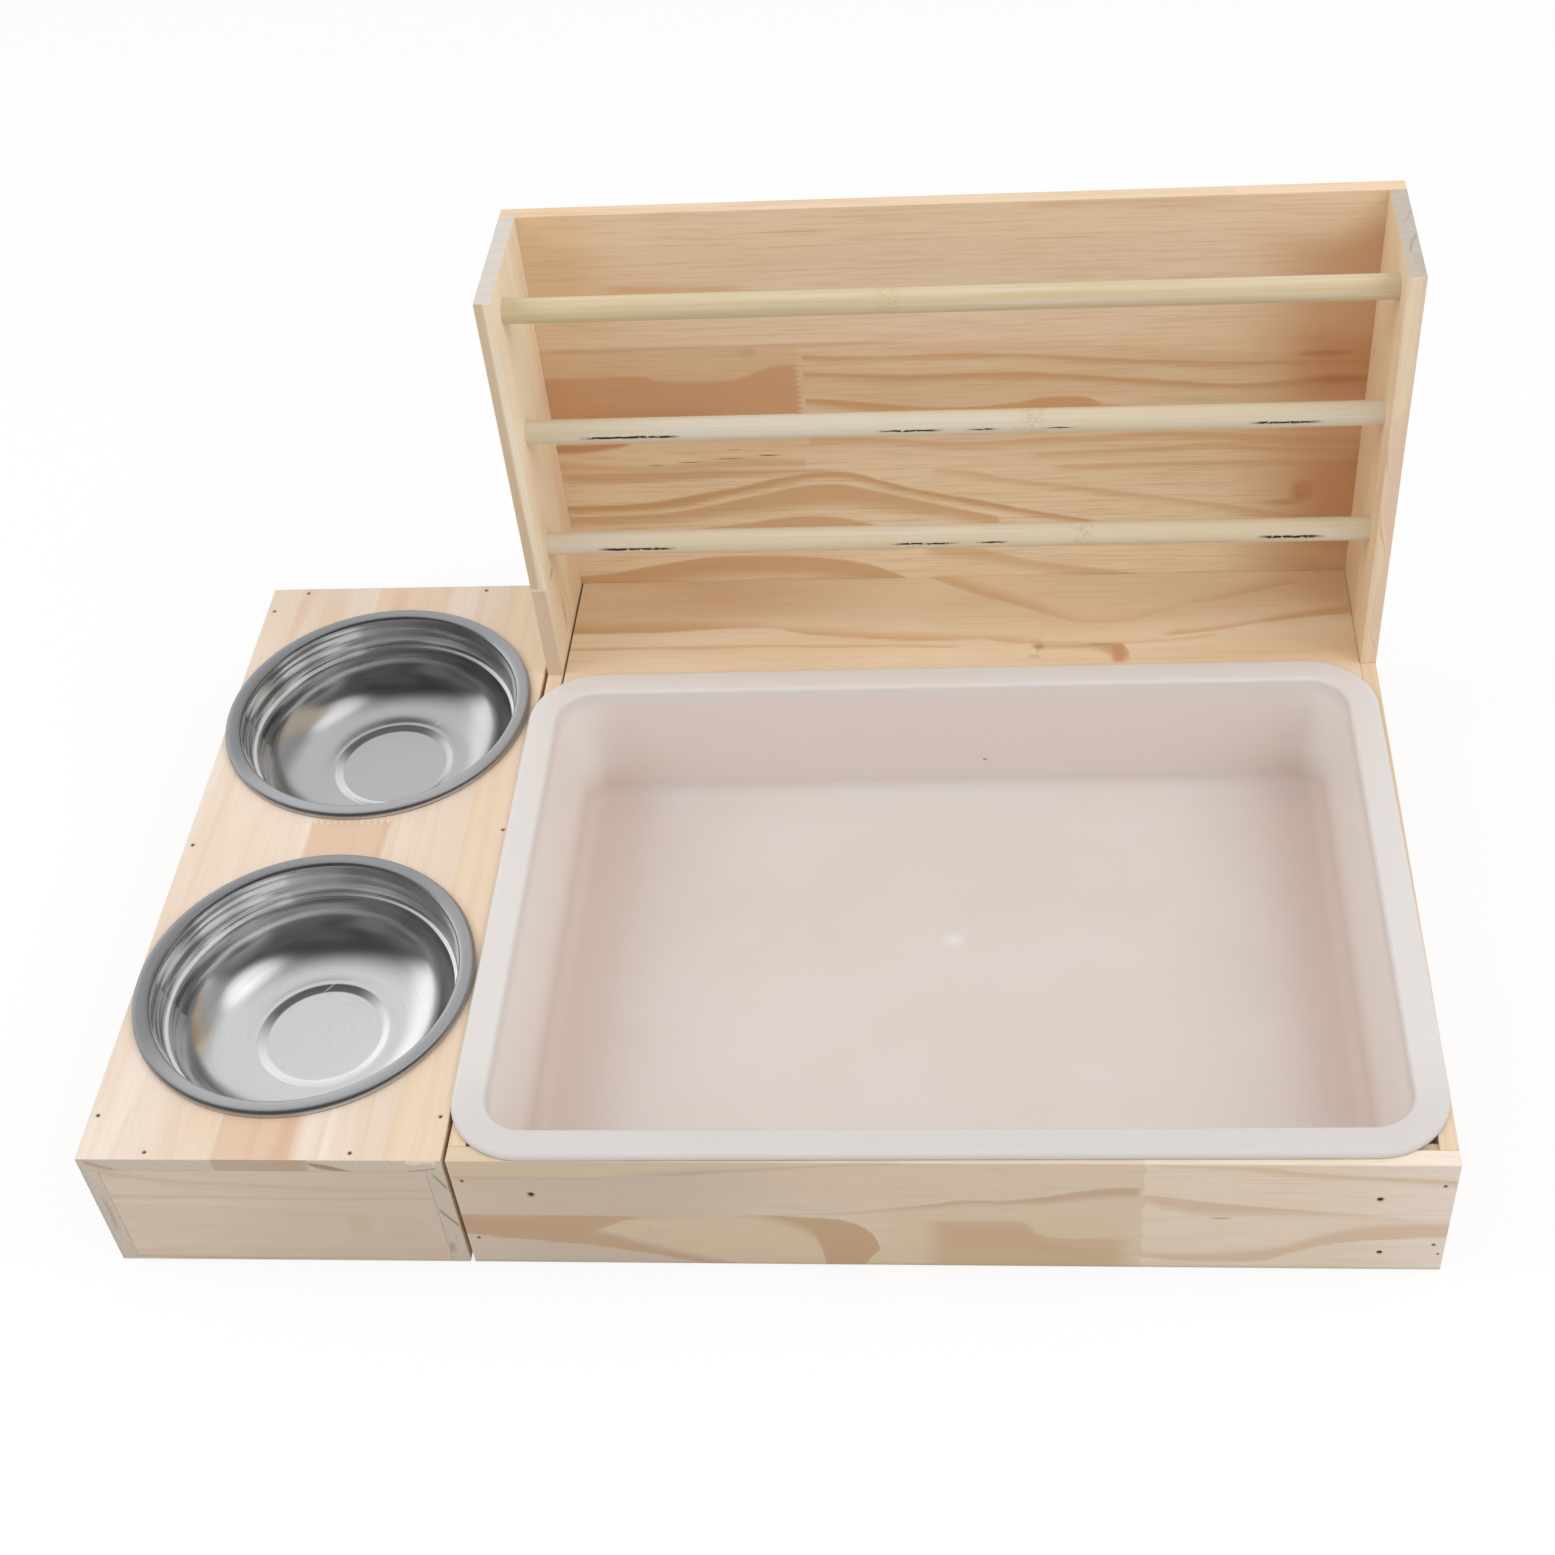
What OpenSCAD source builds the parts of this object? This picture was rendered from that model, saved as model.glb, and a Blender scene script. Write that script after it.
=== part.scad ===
// Hay feeder box for rabbits and other small pets: a bowl stand with two steel bowls,
// a tray box with a lift-out plastic tray, and a slatted hay rack behind the tray.
// Origin: the middle of the footprint, on the ground. +X right, +Y back, +Z up.

/* [Boards] */
// Thickness of every pine board
board_t = 8; // [7:0.5:10]
// Height of the bowl stand and of the tray box
box_h = 76; // [74:1:100]
// Distance between the bowl stand and the tray box
box_gap = 2; // [1:0.5:4]

/* [Bowls] */
// Diameter over the rim
bowl_d = 160; // [140:1:180]
// Width of the flat rim
bowl_rim_w = 8; // [6.5:0.5:11]
// Height of the rim above the board that it sits on
bowl_rim_h = 3.5; // [2.5:0.1:5]
// Depth from the rim's seat to the underside of the bottom
bowl_depth = 40; // [30:1:52]
// How far the wall leans in between the rim and the bead
bowl_lean = 5; // [3:0.5:8]
// Diameter of the flat bottom
bowl_base_d = 88; // [76:1:100]
// Diameter of the raised disc in the bottom
bowl_disc_d = 62; // [40:1:68]
// Thickness of the steel sheet
sheet_t = 0.8; // [0.6:0.05:1.2]
// How far left of its hole's middle the front bowl lies
front_bowl_shift = 0.5; // [0:0.1:1.5]
// How far left of its hole's middle the rear bowl lies
rear_bowl_shift = 2; // [0.5:0.1:2.5]

/* [Bowl stand] */
// Wood left on each side of the bowls' rims
stand_edge = 1.5; // [1.5:0.5:20]
// Distance between the two bowls' rims
bowl_apart = 26; // [6:1:30]
// Play round each bowl in its hole
bowl_play = 3.2; // [2.8:0.1:4]
// How far the stand ends in front of the back board's rear face
stand_short = 9; // [0:1:20]

/* [Tray box] */
// Width of the tray box and the hay rack
box_w = 430; // [380:1:480]
// Depth from the front board's face to the rack panels
bay_d = 316; // [290:1:360]
// Thickness of the corner blocks behind the front and back boards
block_t = 5; // [4:0.5:5.5]
// Width of the corner blocks
block_w = 32; // [31:1:40]
// Height of the rear corner blocks
block_h = 56; // [51:1:58]
// Height of the corner blocks above the ground
block_lift = 4; // [0:0.5:8]

/* [Tray] */
// How much wider the tray's rim is than the box
rim_over = 2.5; // [0:0.5:3.5]
// How much shorter the tray's rim is than its bay
rim_under = 2.5; // [2:0.5:5]
// Width of the flat rim
rim_w = 15.5; // [15.5:0.5:18]
// Height of the rim above the box
rim_h = 3; // [2.8:0.1:4]
// Corner radius of the rim's outer edge
rim_r = 34.5; // [34.5:0.5:45]
// Thickness of the tray's walls, floor and rim
tray_wall = 1.8; // [1.2:0.1:2]
// Depth of the tray from the rim's top to the floor's top
tray_depth = 67; // [45:1:70]
// How far each wall leans in between the mouth and the floor
tray_lean = 7; // [4:0.5:9]
// Radius between the walls and the floor
tray_fillet = 8; // [4:0.5:10]
// How far left of the box's middle the tray lies
tray_shift = 2.4; // [1.6:0.1:2.5]
// Angle that the tray is turned in the box
tray_turn = 0.5; // [0:0.05:0.6]

/* [Hay rack] */
// Depth of the rack panels
rack_d = 76; // [60:1:110]
// How far the shelf reaches out in front of the panels
shelf_lip = 12; // [8:0.5:12]
// Play at the left end of the shelf
shelf_play = 1; // [0.2:0.1:2]
// Diameter of the rods
rod_d = 12; // [8:0.5:14]
// Distance from the panels' front edges to the middle of the rods
rod_inset = 22; // [14:0.5:30]
// Height of the lowest rod's middle above the tray box
rod_first = 70; // [50:1:90]
// Distance between the middles of the rods
rod_step = 69; // [50:1:80]
// Height of the panels above the top rod's middle
rod_head = 18; // [12:1:40]
// Wood left behind the ends of the rods
socket_wall = 3; // [2:0.5:5]
// Clearance round a rod in its socket
rod_fit = 0.05; // [0.02:0.01:0.1]

/* [Fasteners] */
// Diameter of the brads
brad_d = 1.5; // [1.2:0.1:2]
// Length of the brads
brad_l = 20; // [16:1:24]
// Diameter of the nails in the corner blocks
nail_d = 2.7; // [1.8:0.1:3]
// Depth of the nail heads below the wood
nail_set = 0.6; // [0.2:0.1:0.8]
// Diameter of the pins between the side boards and the panels
pin_d = 3; // [2:0.5:4]
// Length of the pins
pin_l = 24; // [16:1:32]
// Diameter of the screws that join the two boxes
screw_d = 3.5; // [3:0.5:4]
// Diameter of the screw heads
screw_head_d = 7; // [6:0.5:8]
// Diameter of the spacers between the two boxes
spacer_d = 10; // [8:0.5:14]

/* [Hidden] */
$fn = 96;

// Small overlap that lets one cut run out through a face
cut = 1;

// The two boxes and the overall size
stand_w = bowl_d + 2 * stand_edge;
total_w = stand_w + box_gap + box_w;
total_d = bay_d + rack_d + board_t;
stand_d = total_d - stand_short;
stand_x = -total_w / 2;
box_x = stand_x + stand_w + box_gap;
front_y = -total_d / 2;
panel_y = front_y + bay_d;
back_y = panel_y + rack_d;
box_right = box_x + box_w;
stand_right = stand_x + stand_w;
stand_rear = front_y + stand_d;

// Boards inside the stand
stand_wall_h = box_h - board_t;
stand_mid_x = stand_x + stand_w / 2;
stand_mid_y = front_y + stand_d / 2;
bowl_spacing = bowl_d + bowl_apart;
bowl_mouth_d = bowl_d - 2 * bowl_rim_w;
bowl_hole_d = bowl_mouth_d + 2 * (sheet_t + bowl_play);

// Rods from the lowest up, and their length between the sockets' bottoms
rod_n = 3;
rod_end_gap = 0.2;
rack_h = rod_first + (rod_n - 1) * rod_step + rod_head;
rod_socket = board_t - socket_wall;
rod_len = box_w - 2 * board_t + 2 * (rod_socket - rod_end_gap);

// Brads: distances from the edges of the board that they go through
side_brad_front = 24;
side_brad_rear = 19;
side_brad_shift = [-3.5, 5.5];
front_brad_in = [30.5, 40.5];
rear_brad_in = [20, 42.5];
wall_brad_low = 20;
wall_brad_high = 50;
end_brad_in = 5;
end_brad_low = 19;
end_brad_drop = 14.5;
end_brad_high = box_h - end_brad_drop;
spare_brad = [2.5, 12];
shelf_brad_in = 80;
panel_brad_in = [30, 110, 195];
shelf_end_in = 34;

// The front corner blocks end a little below the top of the box
front_block_drop = 2;
front_block_h = box_h - block_lift - front_block_drop;

// Nails in the corner blocks: distance from the side, and height
block_nail_high = 52;
block_nail_low = 13;
block_nail_in = 31;
block_nail_left = 34;
block_nail_right = 27.5;
nail_short = 1;
nail_l = board_t + block_t - nail_short;

// Pins between the side boards and the panels: distances from the panels' two edges
pin_front_in = 19;
pin_rear_in = 17;

// The tray's rim: its size, distance from the box's face, and the radii of its two edges
tray_w = box_w + rim_over;
tray_d = bay_d - rim_under;
rim_front = 1.6;
rim_soft = 0.4;
rim_edge_r = tray_wall + rim_soft;
mouth_edge_r = tray_wall + rim_soft;

// Screws through the stand's side into the tray box's side
screw_in = 100;
screw_z = 35;
screw_head_h = 2.2;
screw_short = 2;
screw_l = board_t + box_gap + board_t - screw_short;

pine = [0.91, 0.80, 0.64];
pine_dark = [0.84, 0.70, 0.52];
bamboo = [0.93, 0.86, 0.68];
steel = [0.62, 0.63, 0.64];
milky = [0.92, 0.90, 0.88];

// A board from its lowest corner and its size
module board(corner, size) {
    translate(corner) cube(size);
}

// Points on an arc, from angle a to angle b
function arc(middle, rx, rz, a, b, n) =
    [for (i = [0 : n]) let (q = a + (b - a) * i / n) middle + [rx * cos(q), rz * sin(q)]];

// The direction of a line of points at point i
function run_at(line, i) =
    let (d = line[min(i + 1, len(line) - 1)] - line[max(i - 1, 0)]) d / norm(d);

// The same line moved under itself by a sheet's thickness
function under(line, t) =
    [for (i = [0 : len(line) - 1]) let (u = run_at(line, i)) line[i] + t * [-u[1], u[0]]];

// A sheet's section, from its upper line and its thickness
module sheet_section(line, t) {
    below = under(line, t);
    polygon(concat(line, [for (i = [len(below) - 1 : -1 : 0]) below[i]]));
}

// A nail along -Z with its head just under z = 0, and the hole that it leaves
module nail(d, l) {
    translate([0, 0, -l]) cylinder(d = d, h = l - nail_set, $fn = 24);
}

module nail_hole(d, l) {
    translate([0, 0, -l]) cylinder(d = d, h = l + cut, $fn = 24);
}

// Directions: down, and into the object from the front, back, left and right
down = [0, 0, 0];
from_front = [90, 0, 0];
from_back = [-90, 0, 0];
from_left = [0, -90, 0];
from_right = [0, 90, 0];

// Each place is a point on the surface and a direction
stand_brad_places = [
    for (side = [0, 1], run = [0 : 2])
        [[side == 0 ? stand_x + board_t / 2 : stand_right - board_t / 2,
          [front_y + side_brad_front,
           stand_mid_y + side_brad_shift[side],
           stand_rear - side_brad_rear][run],
          box_h], down],
    [[stand_x + front_brad_in[0], front_y + board_t / 2, box_h], down],
    [[stand_right - front_brad_in[1], front_y + board_t / 2, box_h], down],
    [[stand_x + rear_brad_in[0], stand_rear - board_t / 2, box_h], down],
    [[stand_right - rear_brad_in[1], stand_rear - board_t / 2, box_h], down],
    for (y = [front_y + board_t / 2, stand_rear - board_t / 2], z = [wall_brad_low, wall_brad_high])
        each [[[stand_x, y, z], from_left], [[stand_right, y, z], from_right]]
];

box_brad_places = [
    for (x = [box_x + end_brad_in, box_right - end_brad_in], z = [end_brad_low, end_brad_high])
        [[x, front_y, z], from_front],
    [[box_right - spare_brad[0], front_y, spare_brad[1]], from_front]
];

rack_brad_places = [
    for (x = [box_x + board_t / 2, box_right - board_t / 2])
        each [for (z = [end_brad_low, end_brad_high]) [[x, back_y + board_t, z], from_back]],
    for (x = [box_x + board_t / 2, box_right - board_t / 2], h = panel_brad_in)
        [[x, back_y + board_t, box_h + h], from_back],
    for (x = [box_x + shelf_brad_in, box_x + box_w / 2, box_right - shelf_brad_in])
        [[x, back_y + board_t, box_h - board_t / 2], from_back],
    [[box_x, panel_y + shelf_end_in, box_h - board_t / 2], from_left],
    [[box_right, panel_y + shelf_end_in, box_h - board_t / 2], from_right]
];

block_nail_places = [
    [[box_x + block_nail_left, front_y, block_nail_high], from_front],
    [[box_right - block_nail_in, front_y, block_nail_high], from_front],
    [[box_right - block_nail_right, front_y, block_nail_low], from_front],
    for (x = [box_x + block_nail_in, box_right - block_nail_in], z = [block_nail_low, block_nail_high])
        [[x, back_y + board_t, z], from_back]
];

module nails(places, d, l) {
    for (place = places)
        translate(place[0]) rotate(place[1]) nail(d, l);
}

module nail_holes(places, d, l) {
    for (place = places)
        translate(place[0]) rotate(place[1]) nail_hole(d, l);
}

// Pins, drawn as they stand
module pins() {
    for (x = [box_x + board_t / 2, box_right - board_t / 2], y = [pin_front_in, rack_d - pin_rear_in])
        translate([x, panel_y + y, box_h - pin_l / 2])
            cylinder(d = pin_d, h = pin_l, $fn = 32);
}

// A screw along +X with its head's face at x = 0
module screw() {
    rotate([0, 90, 0]) {
        cylinder(d1 = screw_head_d, d2 = screw_d, h = screw_head_h, $fn = 32);
        cylinder(d = screw_d, h = screw_l, $fn = 32);
    }
}

module at_screws() {
    for (y = [front_y + screw_in, stand_rear - screw_in])
        translate([stand_right - board_t, y, screw_z]) children();
}

// Bowl stand

module stand_top() {
    color(pine)
        difference() {
            board([stand_x, front_y, stand_wall_h], [stand_w, stand_d, board_t]);
            for (side = [-1, 1])
                translate([stand_mid_x, stand_mid_y + side * bowl_spacing / 2, stand_wall_h - cut])
                    cylinder(d = bowl_hole_d, h = board_t + 2 * cut);
            nail_holes(stand_brad_places, brad_d, brad_l);
        }
}

module stand_cross_board(y) {
    color(pine)
        difference() {
            board([stand_x + board_t, y, 0], [stand_w - 2 * board_t, board_t, stand_wall_h]);
            nail_holes(stand_brad_places, brad_d, brad_l);
        }
}

module stand_front() {
    stand_cross_board(front_y);
}

module stand_back() {
    stand_cross_board(stand_rear - board_t);
}

module stand_side(x) {
    color(pine_dark)
        difference() {
            board([x, front_y, 0], [board_t, stand_d, stand_wall_h]);
            nail_holes(stand_brad_places, brad_d, brad_l);
            at_screws() screw();
        }
}

module stand_left_side() {
    stand_side(stand_x);
}

module stand_right_side() {
    stand_side(stand_right - board_t);
}

module stand_brads() {
    color(steel) nails(stand_brad_places, brad_d, brad_l);
}

// Bowls: one line from the rim's lip to the middle of the bottom, given a thickness

lip_r = 1.6;
mouth_r = 1.5;
bead_drop = bowl_depth / 3;
bead_step = 1.5;
base_z = -bowl_depth + sheet_t;
disc_rise = 1;
disc_slope = 1;
bead_r = bowl_mouth_d / 2 - bowl_lean;
bowl_line = concat(
    [[bowl_d / 2, 0]],
    arc([bowl_d / 2 - lip_r, bowl_rim_h - lip_r], lip_r, lip_r, 0, 90, 5),
    arc([bowl_mouth_d / 2 + mouth_r, bowl_rim_h - mouth_r], mouth_r, mouth_r, 90, 180, 5),
    [[bead_r + bead_step, -bead_drop + bead_step], [bead_r, -bead_drop]],
    arc([bowl_base_d / 2, -bead_drop - bead_step], bead_r - bowl_base_d / 2,
        bowl_depth - bead_drop - bead_step - sheet_t, 0, -90, 14),
    [[bowl_disc_d / 2 + disc_slope, base_z], [bowl_disc_d / 2, base_z + disc_rise],
     [0, base_z + disc_rise]]
);

module bowl_shell() {
    rotate_extrude($fn = 128) sheet_section(bowl_line, sheet_t);
}

module bowl(side, shift) {
    color(steel)
        translate([stand_mid_x - shift, stand_mid_y + side * bowl_spacing / 2, box_h])
            bowl_shell();
}

module bowl_front() {
    bowl(-1, front_bowl_shift);
}

module bowl_rear() {
    bowl(1, rear_bowl_shift);
}

// Tray box

module box_front() {
    color(pine)
        difference() {
            board([box_x, front_y, 0], [box_w, board_t, box_h]);
            nail_holes(box_brad_places, brad_d, brad_l);
            nail_holes(block_nail_places, nail_d, nail_l);
        }
}

module box_side(x) {
    color(pine_dark)
        difference() {
            board([x, front_y + board_t, 0], [board_t, bay_d + rack_d - board_t, box_h]);
            nail_holes(box_brad_places, brad_d, brad_l);
            nail_holes(rack_brad_places, brad_d, brad_l);
            pins();
            at_screws() screw();
        }
}

module box_left_side() {
    box_side(box_x);
}

module box_right_side() {
    box_side(box_right - board_t);
}

module box_brads() {
    color(steel) nails(box_brad_places, brad_d, brad_l);
}

module block(x, y, h) {
    color(pine)
        difference() {
            board([x, y, block_lift], [block_w, block_t, h]);
            nail_holes(block_nail_places, nail_d, nail_l);
        }
}

module block_front_left() {
    block(box_x + board_t, front_y + board_t, front_block_h);
}

module block_front_right() {
    block(box_right - board_t - block_w, front_y + board_t, front_block_h);
}

module block_rear_left() {
    block(box_x + board_t, back_y - block_t, block_h);
}

module block_rear_right() {
    block(box_right - board_t - block_w, back_y - block_t, block_h);
}

module block_nails() {
    color(steel) nails(block_nail_places, nail_d, nail_l);
}

// Tray: one section, from the rim's lip to the floor, that runs round the four corners
// and along the four sides. Each corner turns about the same middle at every height.

corner_r = rim_r - rim_w;
side_x = tray_w - 2 * rim_r;
side_y = tray_d - 2 * rim_r;
tray_mid = [box_x + box_w / 2 - tray_shift, front_y + rim_front + tray_d / 2];
tray_floor_z = rim_h - tray_depth;
tray_line = concat(
    [[rim_r, 0]],
    arc([rim_r - rim_edge_r, rim_h - rim_edge_r], rim_edge_r, rim_edge_r, 0, 90, 5),
    arc([corner_r + mouth_edge_r, rim_h - mouth_edge_r], mouth_edge_r, mouth_edge_r, 90, 180, 5),
    arc([corner_r - tray_lean - tray_fillet, tray_floor_z + tray_fillet],
        tray_fillet, tray_fillet, 0, -90, 8),
    [[0, tray_floor_z]]
);

module tray_side(length) {
    rotate([90, 0, 0]) linear_extrude(length, center = true) sheet_section(tray_line, tray_wall);
}

module tray() {
    color(milky, 0.8)
        translate([tray_mid[0], tray_mid[1], box_h])
            rotate([0, 0, tray_turn]) {
                for (quarter = [0 : 3])
                    rotate([0, 0, quarter * 90]) {
                        along = quarter % 2 == 0 ? side_y : side_x;
                        out = quarter % 2 == 0 ? side_x / 2 : side_y / 2;
                        translate([out, 0, 0]) tray_side(along);
                        translate([out, along / 2, 0])
                            rotate_extrude(angle = 90) sheet_section(tray_line, tray_wall);
                    }
                translate([-side_x / 2, -side_y / 2, tray_floor_z - tray_wall])
                    cube([side_x, side_y, tray_wall]);
            }
}

// Hay rack

module rack_back() {
    color(pine)
        difference() {
            board([box_x, back_y, 0], [box_w, board_t, box_h + rack_h]);
            nail_holes(rack_brad_places, brad_d, brad_l);
            nail_holes(block_nail_places, nail_d, nail_l);
        }
}

module rods(grow) {
    for (i = [0 : rod_n - 1])
        rod(i, grow);
}

module rod(i, grow = 0) {
    translate([box_x + box_w / 2, panel_y + rod_inset, box_h + rod_first + i * rod_step])
        rotate([0, 90, 0])
            cylinder(d = rod_d + 2 * grow, h = rod_len + (grow > 0 ? 2 * rod_end_gap : 0), center = true);
}

module rack_panel(x) {
    color(pine)
        difference() {
            board([x, panel_y, box_h], [board_t, rack_d, rack_h]);
            rods(rod_fit);
            pins();
            nail_holes(rack_brad_places, brad_d, brad_l);
        }
}

module rack_left_panel() {
    rack_panel(box_x);
}

module rack_right_panel() {
    rack_panel(box_right - board_t);
}

module rack_shelf() {
    color(pine)
        difference() {
            board([box_x + board_t + shelf_play, panel_y - shelf_lip, box_h - board_t],
                [box_w - 2 * board_t - shelf_play, rack_d + shelf_lip, board_t]);
            nail_holes(rack_brad_places, brad_d, brad_l);
        }
}

module rod_bottom() {
    color(bamboo) rod(0);
}

module rod_middle() {
    color(bamboo) rod(1);
}

module rod_top() {
    color(bamboo) rod(2);
}

module panel_pins() {
    color(bamboo) pins();
}

module rack_brads() {
    color(steel) nails(rack_brad_places, brad_d, brad_l);
}

// Joints between the two boxes

module joining_screws() {
    color(steel) at_screws() screw();
}

module joining_spacers() {
    color(steel)
        at_screws()
            translate([board_t, 0, 0])
                rotate([0, 90, 0])
                    difference() {
                        cylinder(d = spacer_d, h = box_gap, $fn = 48);
                        translate([0, 0, -cut]) cylinder(d = screw_d, h = box_gap + 2 * cut, $fn = 32);
                    }
}

stand_top();
stand_front();
stand_back();
stand_left_side();
stand_right_side();
stand_brads();
bowl_front();
bowl_rear();
box_front();
box_left_side();
box_right_side();
block_front_left();
block_front_right();
block_rear_left();
block_rear_right();
block_nails();
box_brads();
tray();
rack_back();
rack_left_panel();
rack_right_panel();
rack_shelf();
rod_bottom();
rod_middle();
rod_top();
panel_pins();
rack_brads();
joining_screws();
joining_spacers();
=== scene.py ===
import math
from collections import namedtuple
import bmesh
import bpy
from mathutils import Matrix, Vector


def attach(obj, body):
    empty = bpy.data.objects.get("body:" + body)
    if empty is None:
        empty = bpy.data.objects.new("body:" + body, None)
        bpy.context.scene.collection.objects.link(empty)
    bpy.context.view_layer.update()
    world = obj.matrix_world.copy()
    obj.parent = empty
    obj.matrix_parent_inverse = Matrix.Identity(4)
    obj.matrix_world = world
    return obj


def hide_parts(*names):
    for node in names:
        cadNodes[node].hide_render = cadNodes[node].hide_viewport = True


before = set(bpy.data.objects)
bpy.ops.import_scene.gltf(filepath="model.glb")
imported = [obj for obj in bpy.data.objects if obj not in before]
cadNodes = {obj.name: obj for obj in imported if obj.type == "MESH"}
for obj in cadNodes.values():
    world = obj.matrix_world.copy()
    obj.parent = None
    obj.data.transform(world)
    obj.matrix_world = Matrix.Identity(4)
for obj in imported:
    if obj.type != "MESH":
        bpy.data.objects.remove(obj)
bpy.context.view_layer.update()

scene = bpy.context.scene
mm = 0.001
degrees = 180 / math.pi  # in a radian


# Helpers for nodes. A wire is a node's output, and a sum with wires in it adds Math nodes to their tree

class Wire:
    def __init__(self, tree, socket):
        self.tree = tree
        self.socket = socket

    def __abs__(self):
        return self.math("ABSOLUTE")

    def math(self, operation):
        return calc(self.tree, operation, self)

    def ease(self, low, high, out=(0, 1), kind="SMOOTHSTEP"):
        return wire(self.tree, "ShaderNodeMapRange", {
            "Value": self, "From Min": low, "From Max": high, "To Min": out[0], "To Max": out[1],
        }, "Result", interpolation_type=kind)

    def between(self, low, high):
        return self.ease(0, 1, (low, high), "LINEAR")


def calc(tree, operation, *values, clamp=False):
    return wire(tree, "ShaderNodeMath", dict(enumerate(values)), operation=operation, use_clamp=clamp)


for sign, operation in {"add": "ADD", "sub": "SUBTRACT", "mul": "MULTIPLY", "truediv": "DIVIDE"}.items():
    setattr(Wire, f"__{sign}__", lambda self, other, how=operation: calc(self.tree, how, self, other))
    setattr(Wire, f"__r{sign}__", lambda self, other, how=operation: calc(self.tree, how, other, self))


def place(tree, kind, inputs=None, **settings):
    node = tree.nodes.new(kind)
    for name, value in settings.items():
        setattr(node, name, value)
    for key, value in (inputs or {}).items():
        if isinstance(value, Wire):
            tree.links.new(value.socket, node.inputs[key])
        else:
            node.inputs[key].default_value = value
    return node


def wire(tree, kind, inputs=None, output=0, **settings):
    return Wire(tree, place(tree, kind, inputs, **settings).outputs[output])


def wires(tree, node):
    return {socket.name: Wire(tree, socket) for socket in node.outputs}


def tone(red, green, blue):  # screen colour, 0 to 255, made linear
    def linear(value):
        share = value / 255
        return share / 12.92 if share <= 0.04045 else ((share + 0.055) / 1.055) ** 2.4
    return (linear(red), linear(green), linear(blue), 1)


def blend(factor, first, second):  # colours of three numbers are screen colours
    first, second = [tone(*c) if isinstance(c, tuple) and len(c) == 3 else c for c in (first, second)]
    return wire(factor.tree, "ShaderNodeMix", {0: factor, 6: first, 7: second}, 2, data_type="RGBA")


def vector(x, y, z):
    tree = next(part.tree for part in (x, y, z) if isinstance(part, Wire))
    return wire(tree, "ShaderNodeCombineXYZ", {"X": x, "Y": y, "Z": z})


def split(where):
    node = place(where.tree, "ShaderNodeSeparateXYZ", {0: where})
    return [Wire(where.tree, socket) for socket in node.outputs]


def noise(where, detail=2, rough=0.5, scale=1):
    return wire(where.tree, "ShaderNodeTexNoise", {
        "Vector": where, "Scale": scale, "Detail": detail, "Roughness": rough,
    }, noise_dimensions="3D")


def distance(x, y):
    return (x * x + y * y).math("SQRT")


def emptyTree(holder):
    holder.use_nodes = True
    holder.node_tree.nodes.clear()
    return holder.node_tree


def newMaterial(name):
    # A material without nodes, and where a point is on its piece, in millimetres
    material = bpy.data.materials.new(name)
    tree = emptyTree(material)
    where = wire(tree, "ShaderNodeTexCoord", output="Object")
    return material, tree, wire(tree, "ShaderNodeVectorMath", {0: where, "Scale": 1 / mm}, operation="SCALE")


def finishMaterial(material, colour, rough, bump=None, extra=None):
    # bump is a height, its strength and its depth in metres
    tree = material.node_tree
    inputs = {"Base Color": colour, "Roughness": rough}
    if bump:
        inputs["Normal"] = wire(tree, "ShaderNodeBump", dict(zip(("Height", "Strength", "Distance"), bump)))
    inputs.update(extra or {})
    shader = wire(tree, "ShaderNodeBsdfPrincipled", inputs)
    place(tree, "ShaderNodeOutputMaterial", {0: shader})
    return material


def startGroup(name, inputs, outputs):
    group = bpy.data.node_groups.new(name, "ShaderNodeTree")
    for label, value in inputs.items():
        socket = group.interface.new_socket(name=label, in_out="INPUT", socket_type="NodeSocketFloat")
        socket.default_value = value
    for label in outputs:
        group.interface.new_socket(name=label, in_out="OUTPUT", socket_type="NodeSocketFloat")
    return group, wires(group, group.nodes.new("NodeGroupInput"))


def finishGroup(group, values):
    place(group, "NodeGroupOutput", values)
    return group


def useGroup(tree, group, inputs):
    return wires(tree, place(tree, "ShaderNodeGroup", inputs, node_tree=group))


# Wood groups. Along, Across and Through are millimetres in the board: down the grain, over its face, into it

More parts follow.
